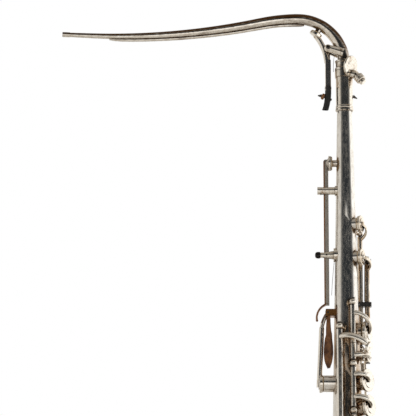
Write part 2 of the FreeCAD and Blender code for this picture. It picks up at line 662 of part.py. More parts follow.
block = box(
    Vec(THUMB_PIVOT.x - THUMB_BUSH_RADIUS, -6.8, BRACKET_LOW),
    Vec(-body_radius(BRACKET_TOP) + 3, 6.8, BRACKET_TOP),
)
block = block.makeFillet(0.8, [edge for edge in block.Edges if abs(edge.Length - 13.6) < 0.01])
fork_half = THUMB_BUSH_HALF + END_GAP
fork_room = box(
    Vec(-60, -fork_half, BRACKET_LOW - 5),
    Vec(THUMB_PIVOT.x + THUMB_BUSH_RADIUS + END_GAP, fork_half, BRACKET_TOP + 5),
)
fork_bore = cylinder(THUMB_PIVOT - Y_AXIS * 9, THUMB_PIVOT + Y_AXIS * 9, THUMB_PIN + SEAT)
nodes["thumb_bracket"] = on_body(block).cut(fork_room).cut(fork_bore)
thumb_pin = cylinder(THUMB_PIVOT - Y_AXIS * 7.1, THUMB_PIVOT + Y_AXIS * 7.1, THUMB_PIN)

LEAF_TURN = 40.0
leaf_top = BRACKET_LOW - SEAT
leaf_wide = leaf_top - 34.0
leaf_tip = leaf_top - 55.0
leaf_edges = [
    Part.Arc(Vec(0, 0, leaf_tip), Vec(0, 5.4, leaf_tip + 8.6), Vec(0, 6.6, leaf_wide)).toShape(),
    Part.Arc(Vec(0, 6.6, leaf_wide), Vec(0, 3.6, leaf_top - 19), Vec(0, 2.0, leaf_top)).toShape(),
    Part.makeLine(Vec(0, 2.0, leaf_top), Vec(0, -2.0, leaf_top)),
    Part.Arc(Vec(0, -2.0, leaf_top), Vec(0, -3.6, leaf_top - 19), Vec(0, -6.6, leaf_wide)).toShape(),
    Part.Arc(Vec(0, -6.6, leaf_wide), Vec(0, -5.4, leaf_tip + 8.6), Vec(0, 0, leaf_tip)).toShape(),
]
leaf = Part.Face(Part.Wire(leaf_edges)).extrude(Vec(2.4, 0, 0))
leaf.rotate(Vec(1.2, 0, leaf_wide), Z_AXIS, LEAF_TURN)
leaf.translate(Vec(THUMB_PIVOT.x - 0.1, -4.2, 0))
nodes["thumb_leaf"] = on_body(leaf)

# ---- strap eye and thumb hook ----

eye_outer = STRAP_EYE_BORE + STRAP_EYE_WALL
eye_half = STRAP_EYE_THICKNESS / 2
eye = cylinder(
    Vec(EYE_X, -eye_half, STRAP_EYE_HEIGHT), Vec(EYE_X, eye_half, STRAP_EYE_HEIGHT), eye_outer
)
eye_neck = box(
    Vec(EYE_X + STRAP_EYE_BORE, -eye_half, STRAP_EYE_HEIGHT - 5), Vec(-8, eye_half, STRAP_EYE_HEIGHT + 5)
)
eye_plate = box(
    Vec(-body_radius(STRAP_EYE_HEIGHT) - 1.4, -7, STRAP_EYE_HEIGHT - 16),
    Vec(0, 7, STRAP_EYE_HEIGHT + 16),
)
eye_hole = cylinder(Vec(EYE_X, -9, STRAP_EYE_HEIGHT), Vec(EYE_X, 9, STRAP_EYE_HEIGHT), STRAP_EYE_BORE)
nodes["strap_eye"] = on_body(fused(eye, eye_neck, eye_plate).cut(eye_hole))

hook_skin = body_radius(THUMB_HOOK_HEIGHT)
hook_plate = box(
    Vec(-hook_skin - 1.4, -6.5, THUMB_HOOK_HEIGHT - 14), Vec(0, 6.5, THUMB_HOOK_HEIGHT + 14)
)
hook_root = Vec(-hook_skin - 0.2, 0, THUMB_HOOK_HEIGHT + 6)
hook = curved_bar(
    hook_root,
    hook_root + Vec(-19, 0, -2.0),
    hook_root + Vec(-24, 0, -22.0),
    5.5,
    1.4,
)
nodes["thumb_hook"] = on_body(fused(hook_plate, hook, ball(hook_root + Vec(-24, 0, -22), 1.7)))

# ---- front side keys ----

SIDE_ANGLE = 22.0
SIDE_CUP_RADIUS = 8.6
SIDE_CHIMNEY_RADIUS = 6.6
SIDE_CHIMNEY_HEIGHT = 2.8
SIDE_HOLES = {"upper": -171.4, "lower": -207.0}
SIDE_TUBE_TOPS = {"upper": -182.0, "lower": -211.5}
SIDE_TUBE_ENDS = {"upper": -298.0, "lower": -309.5}
SIDE_TABS = {"upper": -323.0, "lower": -357.0}
SIDE_ARM_DROPS = {"upper": 3.0, "lower": 6.0}
SIDE_ROD_STEP = 7.2
upper_rod_x, SIDE_ROD_Y = rod_place(-40.2, SIDE_TUBE_ENDS["upper"], 6.5)
SIDE_RODS = {"upper": upper_rod_x, "lower": upper_rod_x + SIDE_ROD_STEP}

chimneys = []
plugs = []
holes = []
pillars = [guide_pillar, pivot_pillar]
rods = []


def lift(shape, x, y, degrees):
    shape = shape.copy()
    shape.rotate(Vec(x, y, 0), Z_AXIS, degrees)
    return shape


def hinged_key(spec):
    """A key on a hinge tube parallel to the body: cup, wrap-round arm, tube and pad."""
    angle, z = spec["hole"]
    seat = body_radius(z) + spec["height"] + OPEN_GAP
    out = around(angle, 1, 0)
    cup, pad, back = cup_and_pad(around(angle, seat, z), out, spec["cup"])
    x, y = spec["rod"]
    low, high = spec["tube"]
    tube = hinge_tube(x, y, low, high, spec.get("tube_radius", HINGE_RADIUS))
    arm_z = spec["arm_z"]
    start = Vec(x, y, arm_z)
    end = back - out * 0.7
    centre = (start + end) * 0.5
    bulge = Vec(*spec["bulge"])
    arm = curved_bar(start, centre + bulge, end, spec["arm_wide"], spec["arm_thin"])
    boss = ball(back - out * 0.9, spec["arm_wide"] * 0.95)
    extra = spec.get("extra", [])
    room = pad_room(around(angle, seat, z), out, spec["cup"])
    key = fused(tube, arm.cut(room), boss.cut(room), cup, *extra)
    key = key.cut(hinge_bore(x, y, low, high))
    turn = spec.get("open", 0.0)
    if turn:
        key = lift(key, x, y, turn)
        pad = lift(pad, x, y, turn)
    chimney_radius = spec["cup"] - CUP_OVERHANG
    chimneys.append(chimney(angle, z, chimney_radius, spec["height"]))
    plugs.append(cylinder(Vec(0, 0, z), around(angle, seat, z), chimney_radius + SEAT))
    holes.append(tone_hole(angle, z, spec["cup"] - CUP_OVERHANG))
    nodes[spec["name"]] = key
    nodes[spec["name"] + "_pad"] = pad


for which in ("upper", "lower"):
    rod_x = SIDE_RODS[which]
    tab_z = SIDE_TABS[which]
    tube_end = SIDE_TUBE_ENDS[which]
    lever_reach = 7.0 if which == "upper" else 12.0
    wire_x = rod_x - (0.0 if which == "upper" else 2.4)
    wire_y = SIDE_ROD_Y + lever_reach
    tab_wire = cylinder(Vec(wire_x, wire_y, tab_z), Vec(wire_x, wire_y, tube_end + 9), 1.3)
    tab_link = cylinder(Vec(rod_x, SIDE_ROD_Y, tube_end + 9), Vec(wire_x, wire_y, tube_end + 9), 1.3)
    tab = box(Vec(wire_x - 3.6, wire_y - 1.1, tab_z - 7), Vec(wire_x + 3.6, wire_y + 1.1, tab_z + 7))
    tab = tab.makeFillet(0.9, [edge for edge in tab.Edges if edge.Length > 6])
    corner = ball(Vec(wire_x, wire_y, tube_end + 9), 1.3)
    hinged_key({
        "name": which + "_side_key",
        "hole": (SIDE_ANGLE, SIDE_HOLES[which]),
        "height": SIDE_CHIMNEY_HEIGHT,
        "cup": SIDE_CUP_RADIUS,
        "rod": (rod_x, SIDE_ROD_Y),
        "tube": (tube_end, SIDE_TUBE_TOPS[which]),
        "arm_z": SIDE_TUBE_TOPS[which] - SIDE_ARM_DROPS[which],
        "bulge": (5.6, 1.0, 0) if which == "upper" else (6.0, 0.5, 0),
        "arm_wide": 2.6,
        "arm_thin": 1.2,
        "extra": [tab_wire, tab_link, tab, corner],
    })
    top_bearing = SIDE_TUBE_TOPS[which] + POST_GAP
    low_bearing = tube_end - POST_GAP
    pillars.append(pillar(rod_x, SIDE_ROD_Y, low_bearing))
    if which == "upper":
        pillars.append(pillar(rod_x, SIDE_ROD_Y, top_bearing))
    rods.append(rod(rod_x, SIDE_ROD_Y, low_bearing - BALL_RADIUS, top_bearing + BALL_RADIUS))


def side_saddle(z, lower_hole):
    """A bar on a short stem that the upper key's tube runs through. It also steadies the lower rod."""
    low = Vec(SIDE_RODS["upper"] - 3.9, SIDE_ROD_Y - 3.9, z - 2.4)
    high = Vec(SIDE_RODS["lower"] + 4.4, SIDE_ROD_Y + 3.9, z + 2.4)
    bar = box(low, high)
    bar = bar.makeFillet(1.5, [edge for edge in bar.Edges if edge.Length < 5])
    stem_angle = -math.degrees(math.atan2(SIDE_ROD_Y, SIDE_RODS["upper"]))
    stem = cylinder(around(stem_angle, 6, z), Vec(SIDE_RODS["upper"], SIDE_ROD_Y, z), 2.3)
    whole = on_body(fused(bar, stem))
    for which, radius in (("upper", HINGE_RADIUS + OPEN_GAP), ("lower", lower_hole)):
        centre = Vec(SIDE_RODS[which], SIDE_ROD_Y, z)
        whole = whole.cut(cylinder(centre - Z_AXIS * 9, centre + Z_AXIS * 9, radius))
    return whole


SADDLE_Z = -254.9
nodes["side_key_saddles"] = Part.makeCompound([
    side_saddle(SADDLE_Z, HINGE_RADIUS + OPEN_GAP),
    side_saddle(SIDE_TUBE_TOPS["lower"] + 2.4 + END_GAP, ROD_RADIUS + SEAT),
])

# ---- stack keys ----

STACK_ANGLE = 12.0
FRONT_TUBES = {"first": (-300.5, -261.0), "link": (-317.5, -301.0)}
FRONT_TUBES["second"] = (-346.5, FRONT_TUBES["link"][0] - 2 * POST_GAP - 1.2)
FRONT_TUBES["third"] = (-367.5, FRONT_TUBES["second"][0] - 0.5)
LONG_KEY_TUBE = (-440.0, -287.0)
LOWER_FIRST = -500.0
LOWER_STEP = -58.0
LOWER_TUBE = -LOWER_STEP / 2 - POST_GAP
FRONT_ROD = rod_place(74.4, FRONT_TUBES["third"][0], 5.4)
BACK_ROD = rod_place(112.0, LONG_KEY_TUBE[0], 6.0)
LOWER_ROD = rod_place(78.9, LOWER_FIRST + 2.5 * LOWER_STEP, 8.44)

FRONT_KEYS = [
    {
        "name": "first_stack_key",
        "hole": (STACK_ANGLE, -287.5),
        "height": 2.8,
        "cup": 12.0,
        "tube": FRONT_TUBES["first"],
        "arm_z": -268.5,
        "bulge": (6.0, -4.5, 4.0),
    },
    {
        "name": "link_key",
        "hole": (STACK_ANGLE, -312.0),
        "height": 2.8,
        "cup": 7.0,
        "tube": FRONT_TUBES["link"],
        "arm_z": -313.5,
        "bulge": (5.0, -5.0, 0),
    },
    {
        "name": "second_stack_key",
        "hole": (STACK_ANGLE + 12, -339.0),
        "height": 2.8,
        "cup": 11.8,
        "tube": FRONT_TUBES["second"],
        "arm_z": -334.0,
        "bulge": (5.0, -4.0, 2.0),
    },
    {
        "name": "third_stack_key",
        "hole": (STACK_ANGLE + 10, -366.0),
        "height": 3.8,
        "cup": 11.4,
        "tube": FRONT_TUBES["third"],
        "arm_z": -357.5,
        "bulge": (6.0, -5.0, 2.0),
    },
]
for spec in FRONT_KEYS:
    spec["rod"] = FRONT_ROD
    spec["arm_wide"] = 2.7
    spec["arm_thin"] = 2.2
    spec["open"] = -STACK_LIFT
    hinged_key(spec)
front_top = FRONT_TUBES["first"][1] + POST_GAP
front_middle = (FRONT_TUBES["link"][0] + FRONT_TUBES["second"][1]) / 2
front_low = FRONT_TUBES["third"][0] - POST_GAP
for z in (front_top, front_middle, front_low):
    pillars.append(pillar(FRONT_ROD[0], FRONT_ROD[1], z))
rods.append(rod(FRONT_ROD[0], FRONT_ROD[1], front_low - BALL_RADIUS, front_top + BALL_RADIUS))

LONG_ARM_Z = -294.5
LONG_TOUCH = Vec(FRONT_ROD[0] + 16.4, FRONT_ROD[1] - 5.0, -306.0)
LONG_KEY_LIFT = 5.0
LONG_HOLE_Z = -392.0
hinged_key({
    "name": "long_key",
    "hole": (STACK_ANGLE, LONG_HOLE_Z),
    "height": 2.8,
    "cup": 11.0,
    "rod": BACK_ROD,
    "tube": LONG_KEY_TUBE,
    "arm_z": LONG_HOLE_Z - 4.0,
    "bulge": (4.0, -13.0, 0),
    "arm_wide": 2.7,
    "arm_thin": 2.0,
    "tube_radius": LONG_HINGE_RADIUS,
    "open": -LONG_KEY_LIFT,
    "extra": [
        curved_bar(
            Vec(BACK_ROD[0], BACK_ROD[1], LONG_ARM_Z),
            Vec(FRONT_ROD[0] + 2.9, FRONT_ROD[1] - 10.0, LONG_ARM_Z - 1.5),
            LONG_TOUCH,
            3.3,
            2.3,
        ),
        cylinder(LONG_TOUCH - Vec(1.4, -0.6, 0), LONG_TOUCH + Vec(1.2, -0.5, -1.0), 5.8),
    ],
})
back_top = LONG_KEY_TUBE[1] + POST_GAP
back_low = LONG_KEY_TUBE[0] - POST_GAP
for z in (back_top, back_low):
    pillars.append(pillar(BACK_ROD[0], BACK_ROD[1], z))
rods.append(rod(BACK_ROD[0], BACK_ROD[1], back_low - BALL_RADIUS, back_top + BALL_RADIUS))

LOWER_CUPS = {"fourth_stack_key": 14.0, "fifth_stack_key": 15.0, "sixth_stack_key": 16.0}
lower_posts = [LOWER_FIRST - LOWER_STEP / 2]
for count, name in enumerate(LOWER_CUPS):
    middle = LOWER_FIRST + LOWER_STEP * count
    hinged_key({
        "name": name,
        "hole": (STACK_ANGLE, middle),
        "height": 5.0,
        "cup": LOWER_CUPS[name],
        "rod": LOWER_ROD,
        "tube": (middle - LOWER_TUBE, middle + LOWER_TUBE),
        "arm_z": middle,
        "bulge": (5.5, -5.5, 0),
        "arm_wide": 3.1,
        "arm_thin": 2.3,
        "open": -STACK_LIFT,
    })
    lower_posts.append(middle + LOWER_STEP / 2)
for z in lower_posts:
    pillars.append(pillar(LOWER_ROD[0], LOWER_ROD[1], z))
rods.append(rod(LOWER_ROD[0], LOWER_ROD[1], lower_posts[-1] - BALL_RADIUS, lower_posts[0] + BALL_RADIUS))

# ---- bow ----

BOW_STEPS = 12


def bow_stops(grow, first=0, last=BOW_STEPS):
    sections = []
    for step in range(first, last + 1):
        share = step / BOW_STEPS
        turn = math.pi * share
        centre = Vec(
            BOW_RADIUS - BOW_RADIUS * math.cos(turn), 0, BODY_BOTTOM - BOW_RADIUS * math.sin(turn)
        )
        start_radius = body_radius(BODY_BOTTOM)
        radius = start_radius + (BOW_END_RADIUS - start_radius) * share + grow
        sections.append((centre, -math.degrees(turn), radius))
    return sections


bow_outer = loft(bow_stops(0.0))
nodes["bottom_bow"] = bow_outer.cut(loft(bow_stops(-BOW_WALL)))
guard = loft(bow_stops(1.6, 3, 9)).cut(loft(bow_stops(SEAT, 2, 10)))
guard_keep = box(Vec(-60, -60, BODY_BOTTOM - 150), Vec(BELL_X + 60, 60, BODY_BOTTOM - BOW_RADIUS * 0.80))
inner_space = cylinder(
    Vec(BOW_RADIUS, -60, BODY_BOTTOM), Vec(BOW_RADIUS, 60, BODY_BOTTOM), BOW_RADIUS + 4
)
nodes["bow_guard"] = guard.common(guard_keep).cut(inner_space)

# ---- bell ----

bell_runs = [BELL_LENGTH - BELL_FLARE_LENGTH + BELL_FLARE_LENGTH * step / 8 for step in range(9)]


def bell_curve(shrink):
    points = [
        Vec(BELL_X + bell_radius(run) - shrink, 0, BODY_BOTTOM + run) for run in bell_runs
    ]
    curve = Part.BSplineCurve()
    curve.interpolate(points)
    start = Vec(BELL_X + bell_radius(0) - shrink, 0, BODY_BOTTOM)
    return [Part.makeLine(start, points[0]), curve.toShape()], start, points[-1]


outer_edges, outer_start, outer_end = bell_curve(0.0)
inner_edges, inner_start, inner_end = bell_curve(BELL_WALL)
bell_wire = Part.Wire(Part.__sortEdges__(
    outer_edges + inner_edges
    + [Part.makeLine(outer_start, inner_start), Part.makeLine(outer_end, inner_end)]
))
bell = Part.Face(bell_wire).revolve(Vec(BELL_X, 0, 0), Z_AXIS, 360)
rim = Part.makeTorus(
    BELL_MOUTH_RADIUS + RIM_WIRE_RADIUS + SEAT, RIM_WIRE_RADIUS, Vec(BELL_X, 0, BELL_TOP - 1.6)
)
nodes["bell_rim_wire"] = rim.cut(bell)

BELL_HOLE_RISE = 230.0
bell_hole_z = BODY_BOTTOM + BELL_HOLE_RISE
BELL_CUP_RADIUS = 22.0
BELL_CHIMNEY_HEIGHT = 6.0
bell_here = bell_radius(bell_hole_z - BODY_BOTTOM)
bell_out = Vec(0, -1, 0)
bell_axis_point = Vec(BELL_X, 0, bell_hole_z)
bell_solid = cone(
    Vec(BELL_X, 0, BODY_BOTTOM),
    Vec(BELL_X, 0, BELL_TOP - BELL_FLARE_LENGTH),
    BOW_END_RADIUS + SEAT,
    bell_radius(BELL_LENGTH - BELL_FLARE_LENGTH) + SEAT,
)
bell_chimney_radius = BELL_CUP_RADIUS - CUP_OVERHANG
seat_distance = bell_here + BELL_CHIMNEY_HEIGHT
bell_chimney = cylinder(bell_axis_point, bell_axis_point + bell_out * seat_distance, bell_chimney_radius)
bell_chimney_bore = cylinder(
    bell_axis_point, bell_axis_point + bell_out * (seat_distance + 1), bell_chimney_radius - CHIMNEY_WALL
)
nodes["bell"] = bell.cut(bell_chimney_bore)
chimneys.append(bell_chimney.cut(bell_chimney_bore).cut(bell_solid))
BELL_TUBE = (bell_hole_z - 32.0, bell_hole_z + 120.0)
bell_rod_way = around(128.5, bell_radius(BELL_TUBE[1] - BODY_BOTTOM) + 9.0, 0)
BELL_ROD = (BELL_X + bell_rod_way.x, bell_rod_way.y)
bell_seat = bell_axis_point + bell_out * (seat_distance + OPEN_GAP)
bell_cup, bell_pad, bell_back = cup_and_pad(bell_seat, bell_out, BELL_CUP_RADIUS)
bell_arm = curved_bar(
    Vec(BELL_ROD[0], BELL_ROD[1], bell_hole_z),
    Vec(BELL_X - 15.0, bell_back.y - 3.0, bell_hole_z),
    Vec(BELL_X, bell_back.y + 0.8, bell_hole_z),
    3.6,
    1.9,
)
touch_z = BELL_TUBE[1] - 5.0
touch_arm = curved_bar(
    Vec(BELL_ROD[0], BELL_ROD[1], touch_z),
    Vec(BELL_ROD[0] - 18.0, BELL_ROD[1] - 3.0, touch_z + 2.0),
    Vec(BELL_ROD[0] - 36.0, BELL_ROD[1] + 2.0, touch_z + 8.0),
    3.2,
    1.8,
)
touch_centre = Vec(BELL_ROD[0] - 38.0, BELL_ROD[1] + 1.5, touch_z + 8.0)
touch_plate = cylinder(touch_centre, touch_centre + Vec(-0.6, -2.2, 0), 9.0)
bell_tube_piece = hinge_tube(BELL_ROD[0], BELL_ROD[1], BELL_TUBE[0], BELL_TUBE[1])
bell_arm = bell_arm.cut(pad_room(bell_seat, bell_out, BELL_CUP_RADIUS))
bell_key = bell_tube_piece.fuse([touch_arm, touch_plate, bell_arm, bell_cup])
bell_key = bell_key.cut(hinge_bore(BELL_ROD[0], BELL_ROD[1], BELL_TUBE[0], BELL_TUBE[1]))
nodes["bell_key"] = bell_key
nodes["bell_key_pad"] = bell_pad
bell_posts = []
for z in (BELL_TUBE[0] - BALL_RADIUS - END_GAP, BELL_TUBE[1] + BALL_RADIUS + END_GAP):
    centre = Vec(BELL_ROD[0], BELL_ROD[1], z)
    foot_way = (centre - Vec(BELL_X, 0, z)).normalize()
    skin = bell_radius(z - BODY_BOTTOM)
    foot = cylinder(
        Vec(BELL_X, 0, z) + foot_way * (skin - 3), Vec(BELL_X, 0, z) + foot_way * (skin + 1.4), 5.0
    )
    stem = cone(Vec(BELL_X, 0, z) + foot_way * (skin + 1), centre, 3.0, 2.2)
    post = fused(foot, stem, ball(centre, BALL_RADIUS)).cut(bell_solid)
    bell_posts.append(post.cut(cylinder(centre - Z_AXIS * 9, centre + Z_AXIS * 9, ROD_RADIUS + SEAT)))
pillars.extend(bell_posts)
rods.append(rod(
    BELL_ROD[0],
    BELL_ROD[1],
    BELL_TUBE[0] - END_GAP - 2 * BALL_RADIUS,
    BELL_TUBE[1] + END_GAP + 2 * BALL_RADIUS,
))

RING_HEIGHT = 14.0
RING_WALL = 1.9
RING_EDGE = 1.0


def joint_ring(x, radius_low, radius_high, inner):
    outer = turned(
        [
            (-RING_HEIGHT / 2, 0),
            (-RING_HEIGHT / 2, radius_low + RING_EDGE),
            (-RING_HEIGHT / 2 + 1.2, radius_low + RING_WALL),
            (RING_HEIGHT / 2 - 1.2, radius_high + RING_WALL),
            (RING_HEIGHT / 2, radius_high + RING_EDGE),
            (RING_HEIGHT / 2, 0),
        ],
        Vec(x, 0, BODY_BOTTOM),
        Z_AXIS,
    )
    return outer.cut(inner)


body_ring_inner = body_cone(SEAT).fuse(loft(bow_stops(SEAT, 0, 2)))
bell_ring_inner = bell_solid.fuse(loft(bow_stops(SEAT, BOW_STEPS - 2, BOW_STEPS)))
ring_radius = body_radius(BODY_BOTTOM)
nodes["bow_rings"] = Part.makeCompound([
    joint_ring(0, ring_radius + 0.5, ring_radius, body_ring_inner),
    joint_ring(BELL_X, BOW_END_RADIUS, BOW_END_RADIUS + 0.2, bell_ring_inner),
])

# ---- stay between the body tube and the bell ----

STAY_RISE = 360.0
STAY_Z = BODY_BOTTOM + STAY_RISE
stay_body = body_radius(STAY_Z)
stay_bell = bell_radius(STAY_Z - BODY_BOTTOM)
stay_left = Vec(stay_body, 0, STAY_Z)
stay_right = Vec(BELL_X - stay_bell, 0, STAY_Z)
stay_mid = (stay_left + stay_right) * 0.5
stay_ring = Part.makeTorus(13.0, 2.6, stay_mid, Y_AXIS)
stay_pads = [
    cylinder(stay_left - X_AXIS * 4, stay_left + X_AXIS * 1.6, 9.0),
    cylinder(stay_right - X_AXIS * 1.6, stay_right + X_AXIS * 4, 9.0),
    cylinder(stay_left, stay_mid - X_AXIS * 12.5, 3.0),
    cylinder(stay_mid + X_AXIS * 12.5, stay_right, 3.0),
]
nodes["bell_stay"] = fused(stay_ring, *stay_pads).cut(BODY_SOLID).cut(bell_solid)

# ---- the tube itself, with every tone hole through its wall ----

outer_tube = cone(
    Vec(0, 0, BODY_BOTTOM), Vec(0, 0, BODY_TOP), body_radius(BODY_BOTTOM), body_radius(BODY_TOP)
)
inner_tube = cone(
    Vec(0, 0, BODY_BOTTOM),
    Vec(0, 0, BODY_TOP),
    body_radius(BODY_BOTTOM) - BODY_WALL,
    body_radius(BODY_TOP) - BODY_WALL,
)
holes.append(tone_hole(180, OCTAVE_VENT_Z, 3.7))
holes.append(tone_hole(180, THUMB_VENT_Z, THUMB_VENT_RADIUS))
body_tube = outer_tube.cut(inner_tube)
for hole in holes:
    body_tube = body_tube.cut(hole)
nodes["body_tube"] = body_tube
nodes["vent_chimneys"] = Part.makeCompound([
    chimney(180, OCTAVE_VENT_Z, 3.7, OCTAVE_VENT_HEIGHT),
    chimney(180, THUMB_VENT_Z, THUMB_VENT_RADIUS, THUMB_VENT_HEIGHT),
])
nodes["tone_chimneys"] = Part.makeCompound(chimneys)
fitted_pillars = []
for piece in pillars:
    for plug in plugs:
        if piece.BoundBox.intersect(plug.BoundBox):
            piece = piece.cut(plug)
    fitted_pillars.append(piece)
nodes["key_pillars"] = Part.makeCompound(fitted_pillars)
nodes["pivot_rods"] = Part.makeCompound(rods + [pin_span, thumb_pin])

# ---- springs ----

springs = [
    curved_bar(
        Vec(-body_radius(-212) - 0.9, 0, -212.0),
        Vec(LEVER_X + 6.505, 0, -226.0),
        Vec(LEVER_X + 5.005, 0, -247.0),
        1.3,
        0.25,
    ),
    cylinder(
        Vec(SIDE_RODS["upper"] + 4.6, SIDE_ROD_Y - 4.3, -212.0),
        Vec(SIDE_RODS["upper"] + 4.0, SIDE_ROD_Y - 4.3, -252.0),
        0.35,
    ),
]
nodes["key_springs"] = Part.makeCompound(springs)

# ---- files ----

os.makedirs("parts", exist_ok=True)
for name, shape in nodes.items():
    shape = shape.copy()
    shape.translate(-ORIGIN)
    shape.exportStep("parts/" + name + ".step")
    bad = "" if shape.isValid() else "  NOT VALID"
    print(name, len(shape.Solids), "solids", round(shape.Volume), "mm3" + bad)
print(len(nodes), "nodes; strap eye at", ORIGIN)
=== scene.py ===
# %% [markdown]
# # A double-reed metal horn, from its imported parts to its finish
#
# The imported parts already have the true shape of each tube, pillar, key and screw, and each one
# already moves with its own body. This lesson gives them the finish of an old plated horn, models the
# small soft and sprung pieces that a machined solid can't show, and sets up a plain studio.

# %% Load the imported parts
import json
import math

import bmesh
import bpy
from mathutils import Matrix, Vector


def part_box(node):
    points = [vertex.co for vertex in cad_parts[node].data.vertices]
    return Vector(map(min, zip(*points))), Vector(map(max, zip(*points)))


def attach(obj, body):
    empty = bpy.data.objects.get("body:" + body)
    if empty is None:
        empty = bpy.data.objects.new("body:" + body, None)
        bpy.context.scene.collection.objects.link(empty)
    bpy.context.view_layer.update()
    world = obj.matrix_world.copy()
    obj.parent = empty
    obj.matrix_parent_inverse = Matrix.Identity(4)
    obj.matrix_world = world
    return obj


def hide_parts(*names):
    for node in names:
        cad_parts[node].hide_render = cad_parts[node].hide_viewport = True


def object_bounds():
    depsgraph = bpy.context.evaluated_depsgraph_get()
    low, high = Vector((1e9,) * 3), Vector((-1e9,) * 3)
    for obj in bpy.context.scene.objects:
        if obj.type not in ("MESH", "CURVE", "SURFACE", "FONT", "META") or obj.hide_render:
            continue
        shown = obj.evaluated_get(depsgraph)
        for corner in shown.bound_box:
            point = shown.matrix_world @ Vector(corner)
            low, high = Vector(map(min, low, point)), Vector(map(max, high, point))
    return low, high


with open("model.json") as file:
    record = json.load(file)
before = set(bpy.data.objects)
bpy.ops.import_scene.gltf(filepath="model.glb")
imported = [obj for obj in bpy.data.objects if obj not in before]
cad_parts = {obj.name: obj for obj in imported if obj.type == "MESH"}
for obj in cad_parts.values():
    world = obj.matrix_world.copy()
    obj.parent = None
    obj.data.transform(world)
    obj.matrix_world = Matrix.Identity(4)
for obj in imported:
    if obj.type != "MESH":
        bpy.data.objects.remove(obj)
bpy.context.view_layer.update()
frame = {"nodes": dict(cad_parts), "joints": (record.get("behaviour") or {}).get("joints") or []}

nodes = frame["nodes"]

# %% [markdown]
# ## Finding places on the horn
#
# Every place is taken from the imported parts' own boxes. The body tube stands upright, so the middle of
# its box gives its axis, and a maker measures each key and pillar from that same line. Each joint gives
# the place of its hinge. Small sizes are given in millimetres and turned to metres where they are used.

# %% The line that everything is measured from, and the hinges
MM = 0.001
tube_low, tube_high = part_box("body_tube")
axis_x = (tube_low.x + tube_high.x) / 2
hinge_at = {joint["name"]: Vector(joint["pos_m"]) for joint in frame["joints"]}


def middle(node):
    """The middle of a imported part's box."""
    low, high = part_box(node)
    return (low + high) / 2


print("tube axis at x =", round(axis_x, 5), "and", len(hinge_at), "hinges")

# %% [markdown]
# ## Colours and shader nodes
#
# Colours are easiest to choose as the hex values of a paint program, but a shader adds light, which
# needs linear values. One function turns the one into the other. A second one adds any shader node
# with its settings and its links, so that each finish below reads as a short list.

# %% Colour and node helpers
def linear(hex_colour):
    """The linear values of an sRGB hex colour."""
    channels = [int(hex_colour[place:place + 2], 16) / 255 for place in (1, 3, 5)]
    light = [c / 12.92 if c <= 0.04045 else ((c + 0.055) / 1.055) ** 2.4 for c in channels]
    return (*light, 1.0)


def add_node(tree, kind, inputs=None, stops=None, **settings):
    """Adds one node. An input is a value or another node's output; stops are a ramp's colours."""
    node = tree.nodes.new(kind)
    for name, value in settings.items():
        setattr(node, name, value)
    if stops:
        ramp = node.color_ramp
        while len(ramp.elements) < len(stops):
            ramp.elements.new(0.5)
        for element, (place, colour) in zip(ramp.elements, stops):
            element.position = place
            element.color = colour
    for socket, value in (inputs or {}).items():
        if isinstance(value, bpy.types.NodeSocket):
            tree.links.new(value, node.inputs[socket])
        else:
            node.inputs[socket].default_value = value
    return node


# A Mix node has sockets of every kind under the same names, so its colour sockets go by number.
COLOUR_A, COLOUR_B, COLOUR_OUT = 6, 7, 2


def grey(level):
    """A linear grey, for ramps that carry an amount and not a colour."""
    return (level, level, level, 1.0)


def new_finish(name):
    """An empty material with its output and one surface shader."""
    material = bpy.data.materials.new(name)
    material.use_nodes = True
    tree = material.node_tree
    tree.nodes.clear()
    surface = add_node(tree, "ShaderNodeBsdfPrincipled")
    add_node(tree, "ShaderNodeOutputMaterial", {"Surface": surface.outputs["BSDF"]})
    return material, tree, surface


print("colour and node helpers ready; #808080 is", round(linear("#808080")[0], 3), "in linear light")

# %% [markdown]
# ## Old plate on brass
#
# The tubes are drawn brass with nickel plate, buffed lengthways and then handled for a hundred years.
# Three things tell the eye so. The plate is a warm pale grey and not a chrome blue. It has dull flecks
# and wide clouds, with brown and golden stains where the plate is thin. And every corner where a pillar
# meets the tube goes dark: grime, with painted shade in the same corners.
#
# Noise textures on Object coordinates give the clouds, the flecks and the buffing lines, at sizes
# worked out from millimetres. The buffing lines are finer than the render can show, so they are drawn
# about 0.6 mm apart.

# %% The patterns in the plate
BUFFING_MM = 0.6


def per_mm(size):
    """The scale at which a noise texture's features are about this many millimetres wide."""
    return 1.0 / (size * MM)


def plate_patterns(tree, cloud_mm, fleck_mm, stretch):
    """The coordinates of a plated piece, and its clouds, flecks and buffing lines."""
    where = add_node(tree, "ShaderNodeTexCoord")
    drawn = add_node(tree, "ShaderNodeMapping", {"Vector": where.outputs["Object"], "Scale": stretch})
    clouds = add_node(tree, "ShaderNodeTexNoise", {
        "Vector": drawn.outputs["Vector"], "Scale": per_mm(cloud_mm), "Detail": 5.0, "Roughness": 0.6})
    flecks = add_node(tree, "ShaderNodeTexNoise", {
        "Vector": drawn.outputs["Vector"], "Scale": per_mm(fleck_mm), "Detail": 4.0, "Roughness": 0.65})
    lengthways = add_node(tree, "ShaderNodeMapping", {
        "Vector": where.outputs["Object"], "Scale": (1.0, 1.0, 0.06)})
    buffing = add_node(tree, "ShaderNodeTexNoise", {
        "Vector": lengthways.outputs["Vector"], "Scale": per_mm(BUFFING_MM), "Detail": 2.0})
    return where, clouds, flecks, buffing


print("a 2 mm fleck has scale", per_mm(2))
